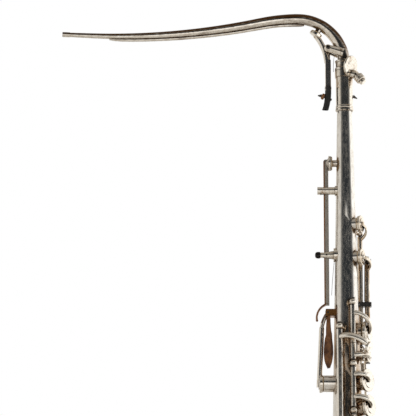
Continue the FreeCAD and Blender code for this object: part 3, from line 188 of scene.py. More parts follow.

# %% [markdown]
# ## Where the plate is stained, and where reflection is painted
#
# Old plate doesn't stain evenly. It goes brown in clouds. It goes brown on top, where dust settles and
# where a painted dark reflection lies too. It goes brown past a given edge, on the side toward the
# player. And it goes golden near other parts, which is tarnish where no cloth reaches and also a painted
# reflection of those parts. Each of these is an amount from 0 to 1, and the larger one wins. The wide
# Ambient Occlusion node finds the places near other parts, because it measures how much of the room
# each place can see.

# %% The amount of stain and of painted reflection
def stain_and_painted_light_amount(tree, patterns, stain_share, top_stain_and_dark_reflection, brown_edge, shelter_and_reflection_mm):
    """How much stain and painted reflection each place gets: the clouds first, then whatever the
    settings add.
    """
    where, clouds, flecks, _ = patterns
    edge = 0.66 - stain_share * 0.3
    stained = add_node(tree, "ShaderNodeValToRGB", {"Fac": clouds.outputs["Fac"]},
                       [(edge, grey(0.0)), (edge + 0.14, grey(0.9))])
    amount = stained.outputs["Color"]
    # Upward faces go brown: dust that settles on top, and a painted dark reflection there.
    if top_stain_and_dark_reflection:
        facing = add_node(tree, "ShaderNodeSeparateXYZ", {"Vector": where.outputs["Normal"]})
        upward = add_node(tree, "ShaderNodeMapRange", {
            "Value": facing.outputs["Z"], "From Min": -0.05, "From Max": 0.45, "To Max": top_stain_and_dark_reflection})
        patchy = add_node(tree, "ShaderNodeMath", {
            0: upward.outputs["Result"], 1: flecks.outputs["Fac"]}, operation="MULTIPLY")
        dust_and_dark_reflection = add_node(tree, "ShaderNodeMath", {
            0: amount, 1: patchy.outputs["Value"]}, operation="ADD", use_clamp=True)
        amount = dust_and_dark_reflection.outputs["Value"]
    # Brown past a given edge, on the side of lower x, toward the player.
    if brown_edge is not None:
        across = add_node(tree, "ShaderNodeSeparateXYZ", {"Vector": where.outputs["Object"]})
        past_edge = add_node(tree, "ShaderNodeMapRange", {
            "Value": across.outputs["X"], "From Min": brown_edge, "From Max": brown_edge - 0.7 * MM})
        brown_past_edge = add_node(tree, "ShaderNodeMath", {
            0: amount, 1: past_edge.outputs["Result"]}, operation="MAXIMUM")
        amount = brown_past_edge.outputs["Value"]
    # Golden near other parts: tarnish where no cloth reaches, and a painted reflection of those parts.
    if shelter_and_reflection_mm:
        near_parts = add_node(tree, "ShaderNodeAmbientOcclusion", {"Distance": shelter_and_reflection_mm * MM}, samples=6)
        unbuffed_and_reflecting = add_node(tree, "ShaderNodeMapRange", {
            "Value": near_parts.outputs["AO"], "From Min": 0.86, "From Max": 0.4, "To Max": 0.95})
        golden_tarnish_and_reflection = add_node(tree, "ShaderNodeMath", {
            0: amount, 1: unbuffed_and_reflecting.outputs["Result"]}, operation="MAXIMUM")
        amount = golden_tarnish_and_reflection.outputs["Value"]
    return amount


# The top and shelter amounts are partly painted: a dark reflection on top, a reflection of nearby parts.
print("stains: clouds, top, edge and shelter")

# %% [markdown]
# ## The whole plated finish
#
# The plate's colour comes first, then the stain and painted reflection over it, then the grime and
# painted shade in the corners over both. Its sheen follows the same flecks and clouds, because a dull
# place is also a rough one. Metallic is 1 on clean plate and a little less where the flecks are, since
# dull plate scatters light instead of mirroring the room. The IOR is left alone, as for any metal.

# %% The plated metal family
GRIME_AND_SHADE = "#2C2118"
GRIME_AND_SHADE_REACH_MM = 4.5
BUFFING_DEPTH_MM = 0.06
DENT_DEPTH_MM = 0.15


def plated_metal(name, bright, dull, stain_and_painted_tone, stain_share, cloud_mm, fleck_mm, smooth, rough,
                 stretch=(1.0, 1.0, 0.3), metal=1.0, top_stain_and_dark_reflection=0.0, brown_edge=None, shelter_and_reflection_mm=0.0):
    """Plate with dull flecks, stained clouds, and grime with painted shade in its corners."""
    material, tree, surface = new_finish(name)
    patterns = plate_patterns(tree, cloud_mm, fleck_mm, stretch)
    _, clouds, flecks, buffing = patterns
    dull_part = add_node(tree, "ShaderNodeValToRGB", {"Fac": flecks.outputs["Fac"]},
                         [(0.42, grey(0.0)), (0.62, grey(1.0))])
    plate = add_node(tree, "ShaderNodeMix", {
        "Factor": dull_part.outputs["Color"], COLOUR_A: linear(bright), COLOUR_B: linear(dull)},
        data_type="RGBA")
    # The stain colour here carries the real stains and the painted reflections.
    stained_and_painted = add_node(tree, "ShaderNodeMix", {
        "Factor": stain_and_painted_light_amount(tree, patterns, stain_share, top_stain_and_dark_reflection, brown_edge, shelter_and_reflection_mm),
        COLOUR_A: plate.outputs[COLOUR_OUT], COLOUR_B: linear(stain_and_painted_tone)}, data_type="RGBA")
    # Grime and painted shade: the corners that the AO node finds are mixed toward a dark brown.
    corners = add_node(tree, "ShaderNodeAmbientOcclusion", {"Distance": GRIME_AND_SHADE_REACH_MM * MM}, samples=6)
    grime_and_shade = add_node(tree, "ShaderNodeValToRGB", {"Fac": corners.outputs["AO"]},
                     [(0.34, grey(0.95)), (0.8, grey(0.0))])
    finished = add_node(tree, "ShaderNodeMix", {
        "Factor": grime_and_shade.outputs["Color"], COLOUR_A: stained_and_painted.outputs[COLOUR_OUT],
        COLOUR_B: linear(GRIME_AND_SHADE)}, data_type="RGBA")
    mixed = add_node(tree, "ShaderNodeMath", {
        0: flecks.outputs["Fac"], 1: clouds.outputs["Fac"]}, operation="MULTIPLY")
    sheen = add_node(tree, "ShaderNodeMapRange", {
        "Value": mixed.outputs["Value"], "From Min": 0.1, "From Max": 0.45, "To Min": smooth,
        "To Max": rough})
    relief = add_node(tree, "ShaderNodeBump", {
        "Height": buffing.outputs["Fac"], "Strength": 0.08, "Distance": BUFFING_DEPTH_MM * MM})
    dents = add_node(tree, "ShaderNodeBump", {
        "Height": flecks.outputs["Fac"], "Strength": 0.12, "Distance": DENT_DEPTH_MM * MM,
        "Normal": relief.outputs["Normal"]})
    surface.inputs["Metallic"].default_value = 1.0
    if metal < 1:
        haze = add_node(tree, "ShaderNodeMapRange", {
            "Value": flecks.outputs["Fac"], "From Min": 0.44, "From Max": 0.66, "To Min": 1.0,
            "To Max": metal})
        tree.links.new(haze.outputs["Result"], surface.inputs["Metallic"])
    tree.links.new(finished.outputs[COLOUR_OUT], surface.inputs["Base Color"])
    tree.links.new(sheen.outputs["Result"], surface.inputs["Roughness"])
    tree.links.new(dents.outputs["Normal"], surface.inputs["Normal"])
    return material


# The grime and its painted shade reach this far out of a corner.
print("grime reaches", GRIME_AND_SHADE_REACH_MM, "mm out of a corner")

# %% [markdown]
# ## The metal finishes of this horn
#
# One family, nine members, and each call gives its bright, dull and stained colours, how much of it is
# stained, the width of its clouds and flecks, and how smooth and how rough it gets. The body tube and
# bell are the cleanest. The crook carries brown stains along its top, where dust settles and a hand
# grips it, and the same brown on top is a painted dark reflection too. Turned fittings and cast keys
# are buffed brighter, because fingers keep them clean, while the long side keys and the octave lever
# have gone golden and grey. The tube, the fittings and the keys go golden near other parts, which is
# tarnish and also a painted reflection of those parts. The bracket is bare brass. Rods and screws are
# steel: dark, and blackened on the one screw that was never plated.

# %% Metal finishes
# The tube, the fittings and the keys go golden near other parts: tarnish, and a painted reflection of
# those parts.
tube_plate = plated_metal(
    "nickel_plate_on_drawn_tube", "#F2EEE8", "#D9D3CA", "#A07C4E", 0.16, 34, 2.2, 0.06, 0.2,
    metal=0.84, shelter_and_reflection_mm=16)
# The crook goes brown on its upward faces: dust, and a painted dark reflection.
crook_plate = plated_metal(
    "stained_and_painted_dark_plate_on_crook", "#F4EDE3", "#D8CEC0", "#5E4329", 0.46, 20, 2.0, 0.06, 0.2,
    top_stain_and_dark_reflection=2.6, stretch=(0.4, 1.0, 1.0))
fitting_plate = plated_metal(
    "plate_on_turned_fittings", "#F6F0E6", "#D8CDBE", "#96703F", 0.24, 9, 1.6, 0.08, 0.24,
    stretch=(1.0, 1.0, 1.0), shelter_and_reflection_mm=8)
key_plate = plated_metal(
    "finger_polished_plate", "#FBF6EE", "#E6DCCE", "#9C7646", 0.18, 8, 1.5, 0.08, 0.22,
    stretch=(1.0, 1.0, 1.0), shelter_and_reflection_mm=9)
side_key_plate = plated_metal(
    "golden_tarnished_plate", "#F4EBDF", "#D2BFA4", "#97703F", 0.4, 14, 1.8, 0.1, 0.28,
    stretch=(1.0, 1.0, 0.35))
# The lever goes brown past an edge on the player's side.
lever_plate = plated_metal(
    "grey_tarnished_lever", "#C2BAAF", "#A0978B", "#8C5826", 0.34, 12, 1.7, 0.3, 0.5,
    metal=0.4, brown_edge=hinge_at["octave_lever_hinge"].x - 1.0 * MM)
worn_brass = plated_metal(
    "brown_bare_brass", "#A0713F", "#7A5230", "#5A3A20", 0.5, 6, 1.4, 0.22, 0.45,
    stretch=(1.0, 1.0, 1.0))
old_steel = plated_metal(
    "dark_pivot_steel", "#6E6A66", "#4E4A46", "#5A4128", 0.35, 7, 1.2, 0.16, 0.4,
    stretch=(1.0, 1.0, 0.4))
black_steel = plated_metal(
    "blackened_screw_steel", "#3C3836", "#262321", "#3E2A1A", 0.3, 5, 1.2, 0.22, 0.5,
    stretch=(1.0, 1.0, 1.0))
print("metal finishes:", [material.name for material in bpy.data.materials if "plate" in material.name])

# %% [markdown]
# ## Leather, felt and rubber
#
# The thumb leaf is vegetable-tanned hide, rubbed dark at its edges, with pores about 1 mm apart. Kid
# skin over felt makes the pads. The sleeve is black rubber tube, gone dull and slightly grey. None of
# them is metal: their shine is a soft one, so roughness is high and the bump does most of the work.
# Voronoi cells look like pores and creases, because real grain is also a pattern of closed cells.

# %% The soft finishes
def soft_finish(name, light, dark, cell_mm, patch_mm, roughness, depth_mm, strength=0.6):
    """Two tones in patches, with a grain of closed cells whose edges are darker and lie deeper."""
    material, tree, surface = new_finish(name)
    where = add_node(tree, "ShaderNodeTexCoord")
    patches = add_node(tree, "ShaderNodeTexNoise", {
        "Vector": where.outputs["Object"], "Scale": per_mm(patch_mm), "Detail": 4.0})
    cells = add_node(tree, "ShaderNodeTexVoronoi", {
        "Vector": where.outputs["Object"], "Scale": per_mm(cell_mm)}, feature="DISTANCE_TO_EDGE")
    tone = add_node(tree, "ShaderNodeValToRGB", {"Fac": patches.outputs["Fac"]},
                    [(0.36, linear(dark)), (0.64, linear(light))])
    crease = add_node(tree, "ShaderNodeMapRange", {
        "Value": cells.outputs["Distance"], "From Max": 0.12, "To Min": 0.62, "To Max": 1.0})
    shaded = add_node(tree, "ShaderNodeMix", {
        "Factor": 1.0, COLOUR_A: tone.outputs["Color"], COLOUR_B: crease.outputs["Result"]},
        data_type="RGBA", blend_type="MULTIPLY")
    relief = add_node(tree, "ShaderNodeBump", {
        "Height": cells.outputs["Distance"], "Strength": strength, "Distance": depth_mm * MM})
    surface.inputs["Roughness"].default_value = roughness
    tree.links.new(shaded.outputs[COLOUR_OUT], surface.inputs["Base Color"])
    tree.links.new(relief.outputs["Normal"], surface.inputs["Normal"])
    return material


hide = soft_finish("rubbed_brown_hide", "#8A5C36", "#4E2F1B", 1.1, 7, 0.62, 0.25)
kid_skin = soft_finish("tan_kid_skin_over_felt", "#C9AE86", "#9A7C55", 0.8, 6, 0.7, 0.12)
rubber = soft_finish("aged_black_rubber", "#232221", "#121111", 1.4, 5, 0.58, 0.15, 0.4)
print("soft finishes:", hide.name, kid_skin.name, rubber.name)

# %% [markdown]
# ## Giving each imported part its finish
#
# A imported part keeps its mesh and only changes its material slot. The list goes by what the real piece
# is made of and how it has aged, so that neighbours differ as they do on an old horn.

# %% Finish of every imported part
finish_of = {
    tube_plate: ["body_tube", "bottom_bow", "bell", "vent_chimneys", "tone_chimneys"],
    crook_plate: ["crook_tube", "crook_rib", "reed_ferrule", "crook_vent"],
    fitting_plate: ["receiver", "receiver_clamp", "crook_tenon", "crook_key_saddle", "clamp_screw",
                    "bow_rings", "bow_guard", "bell_stay", "strap_eye", "thumb_hook", "key_pillars",
                    "bell_rim_wire"],
    key_plate: ["crook_key", "thumb_key", "first_stack_key", "link_key", "second_stack_key",
                "third_stack_key", "long_key", "fourth_stack_key", "fifth_stack_key",
                "sixth_stack_key", "bell_key"],
    side_key_plate: ["upper_side_key", "lower_side_key"],
    lever_plate: ["octave_lever"],
    worn_brass: ["thumb_bracket"],
    old_steel: ["pivot_rods", "crook_key_pivot", "crook_key_spring", "key_springs",
                "regulating_screw", "set_screw", "side_key_saddles"],
    kid_skin: [name for name in nodes if name.endswith("_pad")],
    hide: ["thumb_leaf", "leather_washer"],
    rubber: ["tail_sleeve"],
}
for material, names in finish_of.items():
    for name in names:
        nodes[name].data.materials.clear()
        nodes[name].data.materials.append(material)
done = sum(len(names) for names in finish_of.values())
print("finished", done, "of", len(nodes), "packed parts")

# %% [markdown]
# ## Hands for the small pieces
#
# The pieces below start from a primitive and are worked in edit mode, as on a bench. Three short
# functions do what nearly all of them need: pick some points, push a round bar from stop to stop, and
# finish the piece with its material and its body.

# %% Modelling helpers
def pick(piece, test):
    """Picks the points of a piece in edit mode whose place passes the test."""
    mesh = bmesh.from_edit_mesh(piece.data)
    for vertex in mesh.verts:
        vertex.select = test(vertex.co)
    mesh.select_flush_mode()
    bmesh.update_edit_mesh(piece.data)


def round_bar(stops, sides):
    """A solid round bar in edit mode, pushed from stop to stop. A stop is a place and a radius."""
    place, radius = stops[0]
    way = (stops[1][0] - place).normalized().to_track_quat("Z", "Y").to_euler()
    bpy.ops.object.select_all(action="DESELECT")
    bpy.ops.mesh.primitive_circle_add(
        vertices=sides, radius=radius, fill_type="NGON", location=place, rotation=way)
    piece = bpy.context.object
    bpy.ops.object.transform_apply(location=True, rotation=True, scale=True)
    bpy.ops.object.mode_set(mode="EDIT")
    bpy.ops.mesh.select_mode(type="VERT")
    bpy.ops.mesh.select_all(action="SELECT")
    for (before, old_radius), (after, new_radius) in zip(stops, stops[1:]):
        bpy.ops.mesh.extrude_region_move(TRANSFORM_OT_translate={"value": after - before})
        size = new_radius / old_radius
        bpy.ops.transform.resize(value=(size, size, size), center_override=after)
    return piece


def finished_piece(piece, name, material, body, angle=35):
    """Leaves edit mode, brings the origin home, turns the normals out and gives finish and body."""
    if bpy.context.mode == "EDIT_MESH":
        bpy.ops.object.mode_set(mode="OBJECT")
    bpy.ops.object.select_all(action="DESELECT")
    piece.select_set(True)
    bpy.context.view_layer.objects.active = piece
    bpy.ops.object.transform_apply(location=True, rotation=True, scale=True)
    bpy.ops.object.mode_set(mode="EDIT")
    bpy.ops.mesh.select_all(action="SELECT")
    bpy.ops.mesh.normals_make_consistent(inside=False)
    bpy.ops.object.mode_set(mode="OBJECT")
    bpy.ops.object.shade_smooth_by_angle(angle=math.radians(angle))
    piece.name = name
    piece.data.materials.clear()
    piece.data.materials.append(material)
    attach(piece, body)
    return piece


print("helpers ready for", len(hinge_at), "hinges and", len(nodes), "packed parts")

# %% [markdown]
# ## The rubber sleeve on the crook key's tail
#
# The tail is fitted with a short piece of rubber tube, so that it doesn't click on its screw. It was cut
# by hand, so its end is ragged and a little wider, and its top lip is stretched over the metal. A round
# bar pushed down the tail's line gives the body. The end is inset and pushed back up for the hole, and
# the cut edge is shaken a little, because a knife never cuts rubber square.

# %% Rubber sleeve
SLEEVE_MOUTH_MM = 3.3
SLEEVE_WALL_MM = 1.1
SLEEVE_HOLE = Vector((0.6, 0, 3.5)) * MM
sleeve_low, sleeve_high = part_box("tail_sleeve")
sleeve_x = sleeve_high.x - SLEEVE_MOUTH_MM * MM
sleeve_drop = sleeve_high.z - sleeve_low.z
# Each row is a share of the drop, then the lean toward the player and the radius in millimetres.
sleeve_rows = [(0.0, 0.0, 3.15), (0.03, 0.0, 3.5), (0.1, 0.0, 3.55), (0.16, 0.0, 3.35),
               (0.32, 0.1, 3.35), (0.5, 0.5, 3.4), (0.66, 1.1, 3.35), (0.82, 2.0, 3.3),
               (0.93, 2.8, 3.35), (0.985, 3.2, 3.4)]
sleeve_stops = [(Vector((sleeve_x - lean * MM, 0, sleeve_high.z - share * sleeve_drop)), radius * MM)
                for share, lean, radius in sleeve_rows]
sleeve = round_bar(sleeve_stops, 28)
bpy.ops.mesh.inset(thickness=SLEEVE_WALL_MM * MM)
bpy.ops.mesh.extrude_region_move(TRANSFORM_OT_translate={"value": SLEEVE_HOLE})
cut_edge_z = sleeve_high.z - 0.97 * sleeve_drop
pick(sleeve, lambda place: place.z < cut_edge_z)
bpy.ops.transform.vertex_random(offset=0.45 * MM, seed=4)
finished_piece(sleeve, "rubber_sleeve", rubber, "crook_key", 50)
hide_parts("tail_sleeve")
print("rubber sleeve:", len(sleeve.data.polygons), "faces")

# %% [markdown]
# ## The leather thumb leaf
#
# A leaf of thick hide hangs from the thumb bracket and keeps the player's thumb off the cold tube. It
# is narrow where it is nailed, broad and round where the thumb lies, and a hundred years of thumbs have
# dished it. A grid is narrowed row by row with the resize operator, dished column by column, given its
# thickness with Solidify, and its cut edges are worn round with a bevel.

# %% Thumb leaf
LEAF_WIDTH_MM = 13.0
LEAF_THICKNESS_MM = 2.0
LEAF_DISH_MM = 1.5
LEAF_TURN = math.radians(40)
ROWS, COLUMNS = 26, 10
# Half of the leaf's width, in millimetres, at each share of its length from the nailed end down.
half_widths = [(0.0, 2.2), (0.1, 2.4), (0.3, 3.4), (0.45, 5.0), (0.6, 6.3), (0.72, 6.5), (0.84, 5.6),
               (0.93, 3.9), (0.98, 2.0), (1.0, 0.9)]
leaf_low, leaf_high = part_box("thumb_leaf")
leaf_length = leaf_high.z - leaf_low.z


def half_width(down):
    """Half of the leaf's width at a share of its length, between the two rows next to it."""
    after = next(index for index, (share, width) in enumerate(half_widths) if share >= down - 1e-6)
    before = max(after - 1, 0)
    (share_a, width_a), (share_b, width_b) = half_widths[before], half_widths[after]
    part = (down - share_a) / (share_b - share_a) if after != before else 0.0
    return width_a + (width_b - width_a) * part


def apply_modifier(piece, kind, **settings):
    """Adds one modifier to a piece in object mode and applies it."""
    modifier = piece.modifiers.new(kind.title(), kind)
    for name, value in settings.items():
        setattr(modifier, name, value)
    bpy.context.view_layer.objects.active = piece
    bpy.ops.object.modifier_apply(modifier=modifier.name)


bpy.ops.object.select_all(action="DESELECT")
bpy.ops.mesh.primitive_grid_add(
    x_subdivisions=ROWS, y_subdivisions=COLUMNS, size=1.0, rotation=(0, math.radians(90), 0))
leaf = bpy.context.object
leaf.scale = (leaf_length, LEAF_WIDTH_MM * MM, 1.0)
bpy.ops.object.transform_apply(location=True, rotation=True, scale=True)
bpy.ops.object.mode_set(mode="EDIT")
bpy.ops.mesh.select_mode(type="VERT")
for column in range(COLUMNS + 1):
    across = (column / COLUMNS - 0.5) * LEAF_WIDTH_MM * MM
    pick(leaf, lambda place: abs(place.y - across) < 0.1 * MM)
    dish = LEAF_DISH_MM * MM * (2 * column / COLUMNS - 1) ** 2
    bpy.ops.transform.translate(value=(-dish, 0, 0))
for row in range(ROWS + 1):
    down = row / ROWS
    height = (0.5 - down) * leaf_length
    pick(leaf, lambda place: abs(place.z - height) < 0.2 * MM)
    narrowed = half_width(down) / (LEAF_WIDTH_MM / 2)
    bpy.ops.transform.resize(value=(1, narrowed, 1), center_override=(0, 0, height))
    # A fold a third of the way down, and a tip that curls back.
    fold = 0.7 * MM * math.exp(-((down - 0.36) / 0.05) ** 2)
    curl = 1.6 * MM * max(0.0, down - 0.75)
    bpy.ops.transform.translate(value=(fold - curl, 0, 0))
bpy.ops.mesh.select_all(action="SELECT")
bpy.ops.transform.vertex_random(offset=0.08 * MM, seed=2)
bpy.ops.object.mode_set(mode="OBJECT")
apply_modifier(leaf, "SOLIDIFY", thickness=LEAF_THICKNESS_MM * MM, offset=0.0)
apply_modifier(leaf, "BEVEL", width=0.45 * MM, segments=2, limit_method="ANGLE",
               angle_limit=math.radians(50))
leaf.rotation_euler = (0, 0, LEAF_TURN)
leaf.location = middle("thumb_leaf")
finished_piece(leaf, "leather_thumb_leaf", hide, "body", 45)
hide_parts("thumb_leaf")
print("thumb leaf:", round(leaf_length * 1000, 1), "mm long,", len(leaf.data.polygons), "faces")

# %% [markdown]
# ## The leather bumper
#
# The crook key's regulating screw carries a washer punched out of thick leather, squeezed until it
# bulges. A short cylinder is bevelled to a soft edge and shaken by a tenth of a millimetre or so.

# %% Leather bumper
BUMPER_RADIUS_MM = 3.3
BUMPER_THICKNESS_MM = 2.9
screw_way = Vector((2.8, 0, -1.1)).normalized()
bpy.ops.object.select_all(action="DESELECT")
bpy.ops.mesh.primitive_cylinder_add(
    vertices=26, radius=BUMPER_RADIUS_MM * MM, depth=BUMPER_THICKNESS_MM * MM,
    location=middle("leather_washer"), rotation=screw_way.to_track_quat("Z", "Y").to_euler())
bumper = bpy.context.object
bpy.ops.object.transform_apply(location=True, rotation=True, scale=True)
apply_modifier(bumper, "BEVEL", width=0.8 * MM, segments=3, limit_method="ANGLE")
bpy.ops.object.mode_set(mode="EDIT")
bpy.ops.mesh.select_all(action="SELECT")
bpy.ops.transform.vertex_random(offset=0.16 * MM, seed=7)
finished_piece(bumper, "leather_bumper", hide, "crook_key", 60)
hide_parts("leather_washer")
print("bumper:", len(bumper.data.polygons), "faces")

# %% [markdown]
# ## Slotted screw heads
#
# Every pivot rod is screwed in from the end, and its head has a slot for the driver. One head is turned
# from a cylinder: bevelled, then slotted with a Boolean. It is copied onto both ends of every rod. The
# rods' own points give the ends, so the heads always sit where the rods do.

# %% One slotted head
HEAD_RADIUS_MM = 2.3
HEAD_HEIGHT_MM = 1.4
SLOT_WIDTH_MM = 0.6
SLOT_DEPTH_MM = 0.55
# The head sits 0.3 mm out, so that it overlaps the rod's end by the rest of its half height.
HEAD_RISE_MM = 0.3
bpy.ops.object.select_all(action="DESELECT")
bpy.ops.mesh.primitive_cylinder_add(
    vertices=24, radius=HEAD_RADIUS_MM * MM, depth=HEAD_HEIGHT_MM * MM,
    location=(0, 0, HEAD_RISE_MM * MM))
head = bpy.context.object
bpy.ops.object.transform_apply(location=True, rotation=True, scale=True)
apply_modifier(head, "BEVEL", width=0.35 * MM, segments=2, limit_method="ANGLE")
head_top_mm = HEAD_RISE_MM + HEAD_HEIGHT_MM / 2
bpy.ops.mesh.primitive_cube_add(size=1.0, location=(0, 0, head_top_mm * MM))
blade = bpy.context.object
blade.scale = (SLOT_WIDTH_MM * MM, 8 * MM, 2 * SLOT_DEPTH_MM * MM)
bpy.ops.object.transform_apply(location=True, rotation=True, scale=True)
apply_modifier(head, "BOOLEAN", object=blade, operation="DIFFERENCE", solver="EXACT")
bpy.data.objects.remove(blade)
print("one head:", len(head.data.polygons), "faces")

# %% Screw heads on the pivot rods
upright_rods = ["upper_side_key", "lower_side_key", "first_stack_key", "long_key", "fourth_stack_key",
                "bell_key"]


def copy_of(pattern, place, way):
    """A copy with its own mesh. The pattern points up the Z axis from the origin."""
    piece = pattern.copy()
    piece.data = pattern.data.copy()
    bpy.context.collection.objects.link(piece)
    piece.location = place
    piece.rotation_euler = way.to_track_quat("Z", "Y").to_euler()
    return piece


def rod_ends(axis):
    """The lowest and highest point of the rod on an upright axis."""
    heights = [point.co.z for point in nodes["pivot_rods"].data.vertices
               if math.hypot(point.co.x - axis.x, point.co.y - axis.y) < 2.0 * MM]
    return min(heights), max(heights)


for key in upright_rods:
    axis = hinge_at[key + "_hinge"]
    low_end, high_end = rod_ends(axis)
    for label, height, up in (("low", low_end, -1), ("top", high_end, 1)):
        screw = copy_of(head, Vector((axis.x, axis.y, height)), Vector((0, 0, up)))
        finished_piece(screw, key + "_screw_" + label, old_steel, "body")
crook_hinge = hinge_at["crook_key_hinge"]
pin_end = Vector((crook_hinge.x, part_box("crook_key_pivot")[0].y, crook_hinge.z))
saddle_screw = copy_of(head, pin_end + Vector((0, 0.2 * MM, 0)), Vector((0, -1, 0)))
finished_piece(saddle_screw, "crook_key_screw_head", old_steel, "crook")
bpy.data.objects.remove(head)
print("screw heads:", 2 * len(upright_rods) + 1)

# %% [markdown]
# ## Pressed faces on the key cups
#
# A key cup is pressed from sheet. Its edge is rolled over a bead, and its face carries a raised ring
# that stiffens it and catches the light as a thin bright line. A face could be spun from a profile, but
# pushing a disc from stop to stop along the cup's axis is the same lathe work with two operators. Each
# cup's place and direction come from its own pad: the pad's two flat sides have the largest area.

# %% Pressed cup faces
def cup_of(pad_name):
    """The middle of a key's pad, the way its cup looks, and the pad's radius."""
    areas = {}
    for face in nodes[pad_name].data.polygons:
        way = tuple(round(value, 2) for value in face.normal)
        areas[way] = areas.get(way, 0.0) + face.area
    low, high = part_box(pad_name)
    return middle(pad_name), Vector(max(areas, key=areas.get)).normalized(), (high.z - low.z) / 2


def face_outline(radius, dome):
    """The stops of a pressed face in millimetres: height above the pad's middle, and radius."""
    def skin(share):
        return 2.28 + dome * (1 - share * share)
    rolled_edge = [(1.2, radius - 0.2), (1.25, radius + 0.3), (1.9, radius + 0.5), (2.5, radius + 0.25),
                   (2.75, radius - 0.5), (2.5, radius - 1.0)]
    raised_ring = [(skin(0.7), 0.7 * radius), (skin(0.6) + 0.5, 0.66 * radius),
                   (skin(0.6) + 0.55, 0.56 * radius), (skin(0.5) + 0.05, 0.5 * radius)]
    return rolled_edge + raised_ring + [(skin(0.1), 0.1 * radius)]


CUP_PAST_PAD_MM = 0.67
side_keys = ["upper_side_key", "lower_side_key"]
cupped = ["first_stack_key", "link_key", "second_stack_key", "third_stack_key", "long_key",
          "fourth_stack_key", "fifth_stack_key", "sixth_stack_key", "bell_key", *side_keys, "thumb_key",
          "octave_lever"]
bell_axis_x = middle("bell_rim_wire").x
for key in cupped:
    centre, way, radius = cup_of("octave_pad" if key == "octave_lever" else key + "_pad")
    trunk_x = bell_axis_x if key == "bell_key" else axis_x
    if way.dot(centre - Vector((trunk_x, 0, centre.z))) < 0:
        way = -way
    cup_radius = radius / MM + CUP_PAST_PAD_MM
    outline = face_outline(cup_radius, 0.5 + cup_radius * 0.07)
    plate = round_bar([(centre + way * height * MM, reach * MM) for height, reach in outline], 48)
    finish = side_key_plate if key in side_keys else key_plate
    finished_piece(plate, key + "_cup_face", finish, key, 40)
print("pressed cup faces:", len(cupped))

# %% [markdown]
# ## Needle springs
#
# A blued steel needle runs from each pillar along the key's tube and pushes the key back open. Each is a
# round bar drawn to a point. It lies between the tube and the body, where a finger can't catch it.

# %% Needle springs
sprung = ["first_stack_key", "second_stack_key", "long_key", "fourth_stack_key", "fifth_stack_key",
          "sixth_stack_key"]
# Each row is a reach toward the body tube, a drop below the pillar, and the wire's radius there.
needle_rows = [(1.5, 0.0, 0.5), (3.8, 4.0, 0.45), (4.1, 20.0, 0.3)]
PILLAR_ABOVE_KEY_MM = 3.0
for key in sprung:
    axis = hinge_at[key + "_hinge"]
    inward = (Vector((axis_x, 0, 0)) - Vector((axis.x, axis.y, 0))).normalized()
    low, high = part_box(key)
    top = Vector((axis.x, axis.y, high.z + PILLAR_ABOVE_KEY_MM * MM))
    stops = [(top + inward * reach * MM - Vector((0, 0, drop * MM)), radius * MM)
             for reach, drop, radius in needle_rows]
    finished_piece(round_bar(stops, 10), key + "_needle_spring", old_steel, "body")
print("needle springs:", len(sprung))

# %% [markdown]
# ## The octave pillar's end screw
#
# The lever turns in a slotted pillar, and a large blackened screw closes the pillar's outer end. Its
# head is turned in one go: a round bar whose stops follow the head's outline, from a narrow neck over
# a full shoulder to the domed face.

# %% End screw of the octave pillar
lever_hinge = hinge_at["octave_lever_hinge"]
# Each row is a place along the screw, from the hinge toward the player, and the radius there.
head_rows = [(-6.4, 2.9), (-7.0, 3.4), (-8.6, 3.6), (-10.4, 3.4), (-11.5, 2.7), (-12.1, 1.5)]
end_screw = round_bar(
    [(lever_hinge + Vector((reach * MM, 0, 0)), radius * MM) for reach, radius in head_rows], 28)
finished_piece(end_screw, "octave_pillar_end_screw", black_steel, "body", 45)
print("end screw:", len(end_screw.data.polygons), "faces")

# %% [markdown]
# ## Studio
#
# Polished metal looks like what stands round it. A plain white room would make the horn a white shape,
# so the room is white below and around, a little greyer on the player's side and at the ceiling, and
# dim at eye level behind the camera, as in a studio with a bright table. The camera sees plain white. A
# wide lamp, which the metal doesn't mirror, keeps the leather and rubber lit.

# %% The room
world = bpy.data.worlds.new("soft_studio")
bpy.context.scene.world = world
world.use_nodes = True
room = world.node_tree
room.nodes.clear()
around = add_node(room, "ShaderNodeTexCoord")
parts_of_way = add_node(room, "ShaderNodeSeparateXYZ", {"Vector": around.outputs["Generated"]})
sideways = add_node(room, "ShaderNodeMapRange", {
    "Value": parts_of_way.outputs["X"], "From Min": -0.35, "From Max": 0.25})
walls = add_node(room, "ShaderNodeMix", {
    "Factor": sideways.outputs["Result"], COLOUR_A: linear("#DAD7D1"),
    COLOUR_B: (1.25, 1.24, 1.21, 1.0)}, data_type="RGBA")
ceiling = add_node(room, "ShaderNodeMapRange", {
    "Value": parts_of_way.outputs["Z"], "From Min": 0.42, "From Max": 0.72, "To Max": 0.8})
surround = add_node(room, "ShaderNodeMix", {
    "Factor": ceiling.outputs["Result"], COLOUR_A: walls.outputs[COLOUR_OUT],
    COLOUR_B: linear("#8F887D")}, data_type="RGBA")
dim_side = Vector((0.13, -0.99, 0.0)).normalized()
toward_dim = add_node(room, "ShaderNodeVectorMath", {0: around.outputs["Generated"], 1: dim_side},
                      operation="DOT_PRODUCT")
dimness = add_node(room, "ShaderNodeValToRGB", {"Fac": toward_dim.outputs["Value"]}, [
    (0.28, grey(0.0)), (0.4, grey(0.5)), (0.55, grey(0.9)), (0.8, grey(1.0))])
dim = add_node(room, "ShaderNodeMix", {
    "Factor": dimness.outputs["Color"], COLOUR_A: surround.outputs[COLOUR_OUT],
    COLOUR_B: linear("#2F3235")}, data_type="RGBA")
above_table = add_node(room, "ShaderNodeMapRange", {
    "Value": parts_of_way.outputs["Z"], "From Min": 0.0, "From Max": 0.12})
below_lamps = add_node(room, "ShaderNodeMapRange", {
    "Value": parts_of_way.outputs["Z"], "From Min": 0.88, "From Max": 0.45})
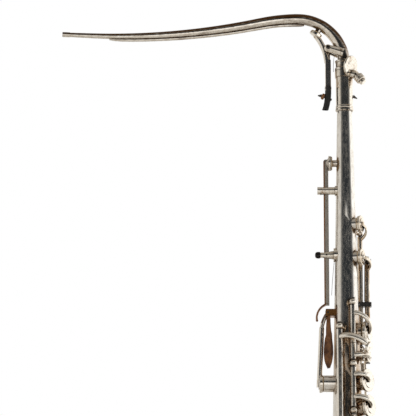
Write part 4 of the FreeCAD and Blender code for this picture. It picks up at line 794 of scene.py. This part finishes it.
eye_level = add_node(room, "ShaderNodeMath", {
    0: above_table.outputs["Result"], 1: below_lamps.outputs["Result"]}, operation="MULTIPLY")
seen = add_node(room, "ShaderNodeMix", {
    "Factor": eye_level.outputs["Value"], COLOUR_A: surround.outputs[COLOUR_OUT],
    COLOUR_B: dim.outputs[COLOUR_OUT]}, data_type="RGBA")
ray = add_node(room, "ShaderNodeLightPath")
shown = add_node(room, "ShaderNodeMix", {
    "Factor": ray.outputs["Is Camera Ray"], COLOUR_A: seen.outputs[COLOUR_OUT],
    COLOUR_B: linear("#FFFFFF")}, data_type="RGBA")
glow = add_node(room, "ShaderNodeBackground", {"Color": shown.outputs[COLOUR_OUT], "Strength": 1.0})
add_node(room, "ShaderNodeOutputWorld", {"Surface": glow.outputs["Background"]})
print("room:", len(room.nodes), "nodes")

# %% Lamp and floor
bpy.ops.object.select_all(action="DESELECT")
bpy.ops.object.light_add(type="AREA", location=(-0.6, -1.6, 1.6))
lamp = bpy.context.object
lamp.name = "wide_lamp"
lamp.data.shape = "DISK"
lamp.data.size = 1.6
lamp.data.energy = 14.0
lamp.rotation_euler = (Vector((0, 0, 0)) - lamp.location).to_track_quat("-Z", "Y").to_euler()
lamp.visible_glossy = False

low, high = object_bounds()
bpy.ops.mesh.primitive_circle_add(vertices=96, radius=2.4, fill_type="NGON",
                                  location=(axis_x, 0, low.z - 0.5 * MM))
floor = bpy.context.object
floor.name = "studio_floor"
bpy.ops.object.transform_apply(location=True, rotation=True, scale=True)
floor_paint, _, floor_surface = new_finish("matt_white_table")
floor_surface.inputs["Base Color"].default_value = linear("#F4F3F0")
floor_surface.inputs["Roughness"].default_value = 0.9
floor.data.materials.append(floor_paint)
print("floor at z =", round(low.z, 4))

# %% [markdown]
# ## Camera
#
# A long lens from three metres keeps the crook and the keys in their true proportions. It stands a
# little below the top of the horn and looks slightly upwards, at the crook and the upper keys.

# %% Camera
bpy.ops.object.camera_add()
camera = bpy.context.object
camera.name = "studio_camera"
target = Vector((-0.1214, 0.0, 0.247))
tilt = math.radians(-12)
distance = 3.0
framed_width = 0.441
camera.location = target + Vector((0, -math.cos(tilt), math.sin(tilt))) * distance
camera.rotation_euler = (target - camera.location).to_track_quat("-Z", "Y").to_euler()
camera.data.sensor_width = 36.0
camera.data.lens = camera.data.sensor_width * distance / framed_width
bpy.context.scene.camera = camera
bpy.context.scene.view_settings.view_transform = "Standard"
print("camera lens", round(camera.data.lens, 1), "mm")
